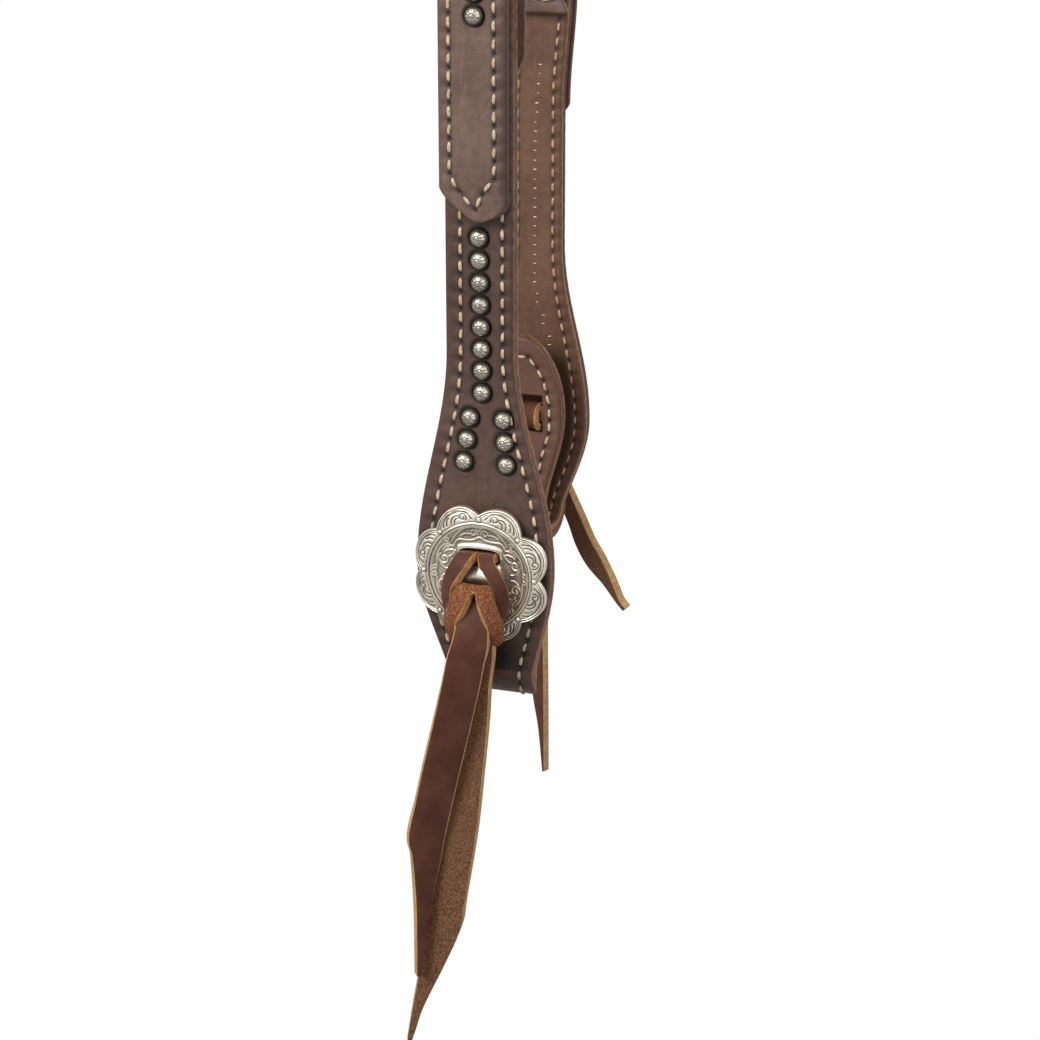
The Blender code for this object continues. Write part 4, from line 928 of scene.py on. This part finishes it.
SPOT_SILVER = silver("spot_silver", (180, 172, 158), (40, 34, 28), 0.22)
DOME = chased_dome(0.0025, 0.0021, 0.0004)
PRONG = spindle(0.0017, 0.00062, 0.00036)
PRONG_STEEL = silver("prong_steel", (206, 182, 152), (124, 94, 70), 0.5)


def stand(route, spots, depth):
    """Places on a strap's face, and the way out of the face at each."""
    where = np.array(spots)
    here = on_route(route, where, depth)
    return here, np.sign(depth) * (on_route(route, where, depth + 0.001) - here)


cheek_at, cheek_out = stand(CHEEK, SEATS, CHEEK_HALF + 0.00005)
chape_at, chape_out = stand(CHAPE, seats, CHAPE_PLY / 2 + 0.00005)
at, out = np.concatenate([cheek_at, chape_at]), np.concatenate([cheek_out, chape_out])
spots = scatter(at, np.tile([1, 0, 0], len(at)), out, DOME, 21, 0.5)
ends = [(-0.0009 - 0.0011 * ease((h - 0.13) / 0.026), h) for h in 0.0886 + 0.00609 * np.arange(12)]
ends += [(-0.0019 - 0.00225 * row, 0.0819 - 0.0071 * row) for row in range(3)]
clench = [(x, run_at(h) + step) for x, h in ends for step in (-0.00145, 0.00145)]
at, out = stand(CHEEK, clench, -CHEEK_HALF)
prongs = scatter(at, np.tile([1, 0, 0.2], len(at)), out, PRONG, 22, 0.5, 0.42, 0.92)
names = [f"_cheek_spot_{i:02d}" for i in range(1, 15)] + [f"_chape_spot_{i}" for i in range(1, 6)]
for side in SIDES:
    show("_spots", spots, "_cheek", SPOT_SILVER, names, side)
    show("_prongs", prongs, "_cheek", PRONG_STEEL, (), side)

# Buckles: a bowed frame of plated wire with a bar across its middle. The frame is chased like a
# rope along its outside. The tongue is bent round the bar and rests over the top rail.
FRAME_HALF_X, FRAME_HALF_Z, RAIL_OUT, ROPE_TURNS, TONGUE = 0.0133, 0.0165, 0.0109, 88, 0.0013
TONGUE_BEND = BAR + SEAM + TONGUE


def unit(rows):
    return rows / np.linalg.norm(rows, axis=1)[:, None]


def smooth(entries, steps):
    """Rows on a Catmull-Rom curve through the given rows."""
    knots = np.array(entries, float)
    knots = np.concatenate([2 * knots[:1] - knots[1:2], knots, 2 * knots[-1:] - knots[-2:-1]])
    t = np.linspace(0, 1, steps, endpoint=False)[:, None]
    rows = [b + ((c - a) * t + (2 * a - 5 * b + 4 * c - d) * t ** 2 + (3 * b - a - 3 * c + d) * t ** 3) / 2
            for a, b, c, d in zip(knots, knots[1:], knots[2:], knots[3:])]
    return np.concatenate(rows + [knots[-2:-1]])


def wire_rings(points, radius, sides=16, closed=False):
    """Rings round a path of points, for a radius at each of them."""
    points = np.asarray(points, float)
    run = np.roll(points, -1, 0) - np.roll(points, 1, 0) if closed else np.gradient(points, axis=0)
    run = unit(run)
    upright = unit(np.cross(run, [0, 1, 0])) if closed else np.tile([1, 0, 0], (len(points), 1))
    aside = np.cross(run, upright)
    turns = around(sides)[:, None]
    outward = np.cos(turns) * upright[:, None] + np.sin(turns) * aside[:, None]
    return points[:, None] + np.reshape(radius, (len(points), -1, 1)) * outward


def buckle_frame():
    corners, _ = rounded_loop(FRAME_HALF_X, FRAME_HALF_Z, 0.0055, 30)
    parts = [12 if i % 30 == 29 else 1 for i in range(120)]
    x, z = np.concatenate([np.linspace(a, b, n, endpoint=False)
                           for a, b, n in zip(corners, np.roll(corners, -1, 0), parts)]).T
    path = np.column_stack([x, -RAIL_OUT * (z / FRAME_HALF_Z) ** 2, z])
    path = np.concatenate([path, path[:1]])
    even = np.linspace(0, lengths(path)[-1], 720, endpoint=False)
    path = points_at(path, even)
    turns = around(20)
    outside = ease((np.cos(turns) - 0.2) / 0.5)
    twist = np.sin(even[:, None] / even[-1] * 2 * pi * ROPE_TURNS + 2.0 * turns)
    cut_in = outside * np.clip(-twist - 0.2, 0, 1)
    return skin(wire_rings(path, BAR - 0.00022 * cut_in, 20, True), {"recess": cut_in}, closed=True)


tongue_path = [(0, -TONGUE_BEND * cos(turn), TONGUE_BEND * sin(turn))
               for turn in np.radians(np.linspace(-50, -250, 30))]
tongue_path += list(smooth([(0, 0, TONGUE_BEND), (0, -0.0086, TONGUE_BEND), (0, -0.0116, 0.0049),
                            (0, -0.0142, 0.0099), (0, -0.0145, 0.0165), (0, -0.0145, 0.0195)], 12))
to_end = np.arange(len(tongue_path))
to_end = np.minimum(to_end, to_end[::-1])
tongue = skin(wire_rings(tongue_path, TONGUE * np.sqrt(np.minimum(to_end / 4 + 0.1, 1))))
bar_path = [(0, y, 0) for y in np.linspace(-FRAME_HALF_X, FRAME_HALF_X, 24)]
bar = skin(wire_rings(bar_path, np.full(24, BAR)))
bar.transform(Matrix.Rotation(-pi / 2, 4, "Z"))
buckle = merged([buckle_frame(), bar])
BUCKLE_SILVER = silver("buckle_silver", (222, 213, 198), (58, 50, 42), 0.24)
for side in SIDES:
    for title, mesh, body, node in (("_buckle_silver", buckle, "crown", "_buckle_frame"),
                                    ("_tongue_silver", tongue, "_tongue", "_buckle_tongue")):
        show(title, mesh, body, BUCKLE_SILVER, [node], side)

# Conchos: slotted, eight-petalled and cupped, struck and chased in antique silver plate. A pair
# of rim lines follows the petals, and scrolls fill the petals and the dish round the slots.
PETALS, PETAL_TURN = 8, pi / 4
PETAL_REACH, PETAL_ROUND = 0.6195 * CONCHO_RADIUS, 0.3805 * CONCHO_RADIUS
RING = 0.745 * CONCHO_RADIUS
CONCHO_SHEET, CONCHO_CROWN, BEAD_REACH, LIP_HALF, BAR_HALF = 0.0011, 0.0034, 0.0159, 0.0066, 0.0062
CONCHO_SEAT = CHEEK_HALF + CHEEK_BULGE + SEAM
PROFILE = ((0, 0.92), (0.14, 0.88), (0.26, 0.60), (0.36, 0.48), (0.48, 0.40), (0.60, 0.46),
           (0.70, 0.64), (0.745, 0.76), (0.84, 0.70), (0.92, 0.56), (1.0, 0.20), (1.1, 0.0))
# Strokes in millimetres: a bend's three points, or a curl's middle, two radii and two angles.
# The leaf scroll in a petal, and the curls and leaves between the ring and the slots
PETAL_SCROLL = [((-1.9, 1.9), 1.15, 0.35, 230, -190), ((-4.3, 0.8), (-3.4, 4.2), (0.6, 3.6)),
                ((-0.9, 2.5), (1.6, 3.3), (1.9, 0.8)), ((-0.9, 2.0), (0.6, 2.3), (0.9, 0.8)),
                ((0.6, 3.6), (3.9, 3.3), (4.5, 0.8)), ((2.2, 2.7), (3.2, 2.2), (3.3, 0.9))]
DISH_SCROLL = [((-0.6, -3.6), 1.7, 0.35, 60, 520), ((-2.7, -2.3), (0.4, -0.6), (3.3, -2.2)),
               ((1.1, -3.0), (2.3, -3.2), (2.9, -4.9)), ((1.6, -2.4), (3.6, -2.8), (3.9, -4.3)),
               ((-2.4, -3.4), (-3.4, -4.6), (-2.7, -5.8)), ((-3.8, -2.1), 0.8, 0.25, 90, 480),
               ((3.4, -3.3), 0.75, 0.25, 0, 380), ((0.6, -4.6), (1.6, -5.6), (3.0, -5.5))]
# Over the upper slot: one of the two scrolls that meet above a peak
CREST_SCROLL = [((1.6, 11.7), 1.15, 0.35, 190, -190), ((0.3, 13.4), (4.6, 14.6), (8.0, 8.8)),
                ((0, 10.7), (1.9, 9.3), (5.0, 9.6)), ((5.0, 9.6), (6.9, 9.7), (7.4, 7.4)),
                ((2.7, 11.4), (4.1, 11.7), (5.4, 10.6)), ((0, 10.7), (0.7, 10.6), (1.1, 10.0))]
BEAD = [((0, 0), 0.55, 0.55, 0, 360)]


def petal_axis(angle):
    return (np.floor(angle / PETAL_TURN) + 0.5) * PETAL_TURN


def bezier(points, count=40):
    t = np.linspace(0, 1, count)[:, None]
    a, b, c = (np.array(point, float) for point in points)
    return (1 - t) ** 2 * a + 2 * t * (1 - t) * b + t ** 2 * c


def curl(middle, start, end, first, last, count=60):
    """A spiral between two radii and two angles in degrees."""
    turn = np.radians(np.linspace(first, last, count))[:, None]
    return middle + np.linspace(start, end, count)[:, None] * np.hstack([np.cos(turn), np.sin(turn)])


def strokes(rows, angle=None, base=0, mirror=1):
    """Strokes of a scroll; with an angle, turned outwards there from a base at a radius."""
    away, beside = np.array([0, 1.0]), np.array([1.0, 0])
    if angle is not None:
        away, beside = np.array([cos(angle), sin(angle)]), np.array([sin(angle), -cos(angle)])
    points = np.concatenate([bezier(row) if len(row) == 3 else curl(*row) for row in rows])
    return (points[:, :1] * mirror * beside + (points[:, 1:] + base) * away) / 1000


def chased_lines():
    cuts, lines = [], []
    for k in range(PETALS):
        angle, mirror = (k + 0.5) * PETAL_TURN, 1 if k % 2 else -1
        cuts.append(strokes(PETAL_SCROLL, angle, RING * 1000, mirror))
        if k not in (1, 2):
            lines.append(strokes(DISH_SCROLL, angle, RING * 1000 - 0.4, mirror))
        lines.append(strokes(BEAD, k * PETAL_TURN, 13.1))
    lines += [strokes(CREST_SCROLL, mirror=mirror) for mirror in (1, -1)]
    return np.concatenate(cuts), np.concatenate(lines)


def concho_relief(x, z):
    """How far the face stands out at a place, and how black its cuts and dish are, with painted shade on the
    inner part of each petal.
    """
    reach, angle = np.hypot(x, z), np.arctan2(z, x)
    axis = petal_axis(angle)
    inward = PETAL_ROUND - np.hypot(x - PETAL_REACH * np.cos(axis), z - PETAL_REACH * np.sin(axis))
    to_cut, to_line = (nearest(np.stack([x, z], -1), curves) for curves in chased_lines())
    shares, levels = np.array(PROFILE).T
    fine = np.linspace(0, 1.1, 400)
    eased = np.convolve(np.pad(np.interp(fine, shares, levels), 12, "edge"), np.ones(25) / 25, "valid")
    level = CONCHO_CROWN * np.interp(reach / CONCHO_RADIUS, fine, eased)
    outer = ease((reach - RING) / 0.0004)
    on_petal = outer * ease((inward - 0.0011) / 0.0003)
    dish = ease((RING - 0.0009 - reach) / 0.0004) * ease((reach - 0.0062) / 0.0012)
    step = 0.00022 * outer * (hump(inward - 0.00025, 0.00028) + 0.5 * hump(inward - 0.0009, 0.00016))
    groove = outer * (hump(inward - 0.00060, 0.00012) + 0.85 * hump(inward - 0.00118, 0.00013))
    ring = 0.00020 * hump(reach - RING, 0.00026)
    groove = np.maximum(groove, 0.85 * hump(np.abs(reach - RING) - 0.0005, 0.00013))
    line_cut = on_petal * hump(to_cut, 0.00019)
    line_up = dish * hump(to_line, 0.00024)
    joint = np.round(angle / PETAL_TURN) * PETAL_TURN
    to_bead = np.hypot(x - BEAD_REACH * np.cos(joint), z - BEAD_REACH * np.sin(joint))
    bead = ease((0.00062 - to_bead) / 0.0004)
    groove = np.maximum(groove * (1 - bead), 0.8 * hump(to_bead - 0.00078, 0.00016))
    crest = 0.0076 + 0.0012 * np.sqrt(np.maximum(1 - (x / LIP_HALF) ** 2, 0))
    lip = ease((crest - z) / 0.0004) * (z > 0.0050) * ease((LIP_HALF - np.abs(x)) / 0.0004)
    bar = (z + 0.0006) / 0.0036
    dome = ease((BAR_HALF - np.abs(x)) / 0.001) * (np.abs(bar) < 1.25)
    level = level + dome * (CONCHO_CROWN * 1.12 - 0.0017 * bar ** 2 - level)
    depth = level + step + ring + 0.00026 * bead + 0.00020 * line_up + 0.00050 * lip
    depth -= 0.00022 * groove + 0.00020 * line_cut + 0.00010 * dish
    patina_and_shade = dish * (0.32 - 0.52 * hump(to_line, 0.00030) + 0.42 * hump(to_line - 0.00045, 0.00018))
    # Painted shade: the inner part of each petal, next to the ring, is darkened away from its strokes.
    inner = on_petal * ease((0.0036 - reach + RING) / 0.003)
    patina_and_shade = patina_and_shade + 0.16 * inner * (1 - hump(to_cut - 0.0006, 0.0004))
    black = 0.75 * groove + 0.95 * line_cut + patina_and_shade
    return depth, np.clip(black * (1 - np.maximum(bead, np.maximum(lip, dome))), 0, 1)


def concho_mesh():
    turns = around(560)
    off = turns - petal_axis(turns)
    edge = PETAL_REACH * np.cos(off) + np.sqrt(PETAL_ROUND ** 2 - (PETAL_REACH * np.sin(off)) ** 2)
    inside = np.linspace(0.006, 1, 92)[:, None] * RING + 0 * turns
    outside = RING + np.linspace(0, 1, 40)[1:, None] * (edge - RING)
    reach = np.concatenate([inside, outside])
    x, z = reach * np.cos(turns), reach * np.sin(turns)
    depth, black = concho_relief(x, z)
    rim = np.clip((reach - edge + 0.00045) / 0.00045, 0, 1)
    depth = depth + CONCHO_SHEET - 0.00040 * (1 - np.sqrt(1 - rim ** 2))
    back = np.minimum(depth - CONCHO_SHEET * 0.9, depth[-1] - 0.0006)[::6]
    depth = np.concatenate([back, depth[-1:] - 0.0007, depth[::-1]])
    black = np.concatenate([0.6 + 0 * back, 0.3 + 0 * black[-1:], black[::-1]])
    x, z = (np.concatenate([rows[::6], rows[-1:], rows[::-1]]) for rows in (x, z))
    rings = np.stack([CONCHO_X + x, -CONCHO_SEAT - depth, CONCHO_HEIGHT - CHEEK_LENGTH + z], -1)
    return skin(rings, {"recess": black})


circle = np.column_stack([np.cos(around(40)), np.sin(around(40))])
rounded = np.sign(circle) * np.abs(circle) ** (2 / 3)
tools = [prism(rounded * (0.0061, half) + (CONCHO_X, height - CHEEK_LENGTH), -0.016, -0.003)
         for height, half in ((SLOT_HIGH, 0.0024), (SLOT_LOW - 0.0014, 0.0016))]
concho = cut(concho_mesh(), tools)
CONCHO_SILVER = silver("concho_silver", (230, 221, 206), (64, 56, 47), 0.33)
for side, shift in (("near", 0), ("far", 0.0007)):
    concho.transform(Matrix.Translation((shift, 0, 0)))
    show("_concho_plate", concho, "_cheek", CONCHO_SILVER, ["_concho"], side)

# Laces: one strip of burgundy latigo on each side, flesh side rough, its cut edges tan. Its ends
# are slit where they leave the concho, each passes through the other, and both hang free.
def lace_finish():
    f = Finish("latigo_lace")
    grain = f.mix(f.span(f.noise(160, 4, 0.6), 0.35, 0.68), (78, 46, 36), (96, 60, 47))
    grain = f.mix(f.span(f.noise(800, 4, 0.7), 0.60, 0.80, 0, 0.3), grain, (118, 74, 60))
    nap = f.noise(2300, 4, 0.75)
    flesh = f.mix(f.span(nap, 0.40, 0.62), (84, 46, 32), (166, 106, 72))
    flesh = f.mix(f.span(f.noise(1100, 5, 0.85), 0.56, 0.66, 0, 0.9), flesh, (206, 158, 112))
    flesh = f.mix(f.span(f.noise(420, 4, 0.7), 0.54, 0.70, 0, 0.55), flesh, (96, 54, 38))
    # Painted shade: on the free tails, marked dim, the flesh side takes a flatter, dimmer copy of its colours
    # and the tan edges a paler one.
    dim = f.mix(f.span(nap, 0.42, 0.60), (82, 57, 42), (148, 106, 78))
    flesh = f.mix(f.mark("dim"), flesh, dim)
    tan = f.mix(f.span(f.noise(900, 4, 0.7), 0.36, 0.66), (172, 124, 74), (220, 178, 122))
    tan = f.mix(f.span(f.noise(240, 3), 0.50, 0.70, 0, 0.35), tan, (132, 84, 50))
    tan = f.mix(f.sum("MULTIPLY", f.mark("dim"), 0.25), tan, (206, 168, 136))
    base = f.mix(f.mark("flesh"), grain, flesh)
    base = f.mix(f.mark("cut_edge"), base, tan)
    dull = f.sum("MAXIMUM", f.mark("flesh"), f.mark("cut_edge"))
    rough = f.sum("ADD", 0.52, f.sum("MULTIPLY", dull, 0.45))
    nap_bump = f.bump(nap, f.sum("ADD", 0.06, f.sum("MULTIPLY", f.mark("flesh"), 0.5)), 0.0004)
    pores = f.bump(f.noise(1100, 5, 0.6), 0.12, 0.0003, nap_bump)
    return f.set(Base_Color=base, Roughness=rough, Normal=pores, Specular_IOR_Level=0.14)


def ribbon(entries, thick=0.0026, flesh_out=False, steps=10, dim=0.0):
    """A strip along (x, out, height, half width, roll in degrees), in millimetres and degrees."""
    rows = smooth(entries, steps)
    middle = np.column_stack([rows[:, 0], -rows[:, 1], rows[:, 2] - CHEEK_LENGTH * 1000]) / 1000
    run = unit(np.gradient(middle, axis=0))
    across = unit((1, 0, 0) - run[:, :1] * run)
    facing = np.cross(run, across)
    roll = np.radians(rows[:, 4:5])
    across, facing = (across * np.cos(roll) - facing * np.sin(roll),
                      facing * np.cos(roll) + across * np.sin(roll))
    face = np.linspace(-0.93, 0.93, 9)
    side = [(0.96, 0.98), (0.995, 0.86), (1.0, 0.3), (1.0, -0.3), (0.995, -0.86)]
    section = [(a, 1 + 0.10 * (1 - a * a), 0, 0) for a in face] + [(a, b, 1, 0) for a, b in side]
    section += [(a, -1, 0, 1) for a in face[::-1]] + [(-a, b, 1, 0) for a, b in side[::-1]]
    a, b, edge, flesh = np.array(section, float).T
    if flesh_out:
        flesh = np.where(edge > 0, 0, 1 - flesh)
    half = rows[:, 3:4, None] / 1000
    rings = middle[:, None] + across[:, None] * a[:, None] * half
    rings = rings + facing[:, None] * b[:, None] * thick / 2
    shape = (len(rows), len(a))
    return skin(rings, {"cut_edge": np.broadcast_to(edge, shape), "flesh": np.broadcast_to(flesh, shape),
                        "dim": np.full(shape, dim)})


# Rows of x, out, height, half width and roll: the loop through the flap, the two slit ends that
# cross, each between the slot and the tails, and the two free tails of each side
LOOP = [(2.6, 9.6, 44.5, 5, 0), (2.6, 6.9, 44.6, 5, 0), (2.6, 1.2, 45.4, 5, 0), (0.1, -3.8, 48.3, 5, 0),
        (-2.2, -8.4, 48.2, 5, 0), (-2.4, -12.9, 47.9, 4.5, -8), (-2.6, -15.0, 47.1, 4.2, -18),
        (-2.7, -15.9, 45.4, 4.2, -22), (-2.6, -15.0, 43.6, 4.2, -18), (-2.4, -12.9, 42.3, 4.5, -8),
        (-2.0, -8.4, 41.0, 5, 0), (0.1, -3.8, 37.5, 5, 0), (2.6, 1.2, 35.1, 5, 0), (2.6, 6.9, 34.4, 5, 0),
        (2.6, 9.6, 34.3, 5, 0)]
UPPER_LEFT = [(-2.7, 8.6, 44.3, 2.6, 0), (-2.9, 11.9, 44.7, 2.6, -4), (-3.5, 14.0, 43.6, 2.5, -14),
              (-4.8, 14.8, 41.4, 2.4, -26), (-6.0, 14.9, 38.9, 2.3, -36), (-6.8, 14.6, 36.2, 2.3, -40),
              (-6.9, 14.2, 33.4, 2.3, -36), (-6.0, 14.0, 30.0, 2.3, -20), (-4.2, 14.6, 27.0, 2.3, -8),
              (-2.6, 16.0, 25.0, 2.2, 0)]
UPPER_RIGHT = [(2.5, 8.6, 44.3, 2.3, 0), (2.7, 11.9, 44.8, 2.2, 2), (3.8, 14.0, 43.9, 2.1, 8),
               (5.8, 14.8, 41.6, 2.0, 18), (7.2, 14.9, 38.9, 2.0, 28), (7.9, 14.6, 36.2, 2.0, 32),
               (7.8, 14.2, 33.4, 2.0, 30), (6.8, 14.0, 30.4, 2.1, 20), (4.6, 14.6, 27.0, 2.2, 8),
               (2.6, 16.0, 25.0, 2.2, 0)]
CROSS = [(0.7, 8.6, 33.4, 4.4, 0), (0.7, 12.0, 34.0, 4.0, 0), (0.7, 14.4, 35.9, 3.6, 0),
         (0.6, 16.1, 37.2, 3.5, 0), (0.9, 17.2, 37.0, 3.0, 0), (1.5, 17.6, 36.2, 1.8, 0)]
LOWER_LEFT = [(-1.3, 15.4, 37.4, 1.7, 0), (-1.6, 17.2, 36.6, 2.4, -8), (-2.5, 18.0, 34.2, 2.7, -20),
              (-3.7, 18.2, 31.4, 2.7, -30), (-4.6, 18.0, 28.8, 2.5, -32), (-4.7, 17.4, 26.2, 2.2, -28),
              (-4.1, 16.6, 23.6, 1.9, -18), (-3.1, 15.4, 21.4, 1.4, -8)]
LOWER_RIGHT = [(3.3, 15.4, 37.4, 1.7, 0), (3.9, 17.2, 36.6, 2.2, 12), (4.9, 18.0, 34.2, 2.4, 30),
               (5.9, 18.2, 31.4, 2.4, 40), (6.9, 18.0, 28.9, 2.4, 44), (7.2, 17.4, 26.8, 2.3, 40),
               (6.9, 16.4, 24.7, 2.2, 28), (5.8, 15.2, 23.0, 2.0, 12), (4.2, 14.2, 22.6, 1.5, 0)]
TAIL_TOP = [(3.1, 13.4, 36.4, 1.8, 0), (3.2, 15.4, 33.6, 3.2, 0), (3.4, 17.4, 30.0, 4.2, 0),
            (3.9, 19.0, 26.4, 4.8, 4), (3.5, 19.8, 22.4, 5.1, 8), (2.2, 19.8, 18.2, 5.25, 12)]
BACK_TOP = [(3.0, 14.0, 27.0, 3.0, 0), (3.6, 14.8, 23.0, 4.8, 0), (3.8, 15.2, 18.6, 5, 0)]
FRONT_TAIL = {
    "near": [(0.8, 19.4, 12, 5.3, 16), (-2.2, 18.5, 0, 5.3, 20), (-6.1, 17.3, -15, 5.3, 22),
             (-9.0, 16.7, -27, 5.25, 24), (-11.5, 16.3, -37.5, 5.35, 30), (-11.6, 16.2, -43, 4.5, 36),
             (-12.6, 16.0, -55, 2.9, 42), (-13.5, 15.9, -66, 1.8, 42), (-14.8, 15.8, -82, 0.6, 40)],
    "far": [(-1.4, 19.0, 13.6, 4.7, -20), (-4.8, 18.6, 8.5, 4.5, -34), (-9.0, 18.3, -0.1, 4.6, -36),
            (-12.2, 18.1, -7.5, 5.0, -34), (-16.0, 18.0, -13.8, 4.9, -32), (-20.7, 17.8, -20.2, 3.4, -38),
            (-24.6, 17.7, -26.6, 1.5, -40), (-27.2, 17.6, -29.6, 1.2, -40)]}
BACK_TAIL = {
    "near": [(2.5, 14.6, 10, 5, 0), (1.5, 13.4, -2, 5, 0), (-0.6, 12.4, -20, 5, 0), (-2.6, 12.0, -37, 5, 0),
             (-6.3, 11.8, -58, 5.2, 0), (-7.8, 11.8, -66.5, 5.3, 0), (-10.9, 11.8, -78, 3.7, 0),
             (-15.9, 11.8, -94, 1.6, 0), (-18.8, 11.8, -106, 0.7, 0)],
    "far": [(3.4, 14.6, 8, 5, -20), (3.8, 13.6, -10, 5, -26), (3.9, 13.2, -35, 4.8, -28),
            (2.4, 13.2, -62, 3.0, -28), (1.2, 13.2, -76, 1.4, -28), (0.4, 13.2, -92, 0.3, -28)]}
LACE_FINISH = lace_finish()
for side, place in SIDES.items():
    pieces = [ribbon(LOOP, flesh_out=True)]
    for strand, outside in ((UPPER_LEFT, False), (UPPER_RIGHT, False), (CROSS, True),
                            (LOWER_LEFT, True), (LOWER_RIGHT, True)):
        strand = [(CONCHO_X * 1000 + x, *rest) for x, *rest in strand]
        pieces.append(ribbon(strand, 0.0028, flesh_out=outside))
    # The tails carry the dim mark: painted shade.
    pieces += [ribbon(BACK_TOP + BACK_TAIL[side], flesh_out=True, dim=1.0),
               ribbon(TAIL_TOP + FRONT_TAIL[side], dim=1.0)]
    lace = show("_lace", merged(pieces), None, LACE_FINISH,
                ["_tie_lace", "_lace_tail_front", "_lace_tail_back"], side)
    x, y, z = place.translation
    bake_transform(lace)

bpy.context.view_layer.update()
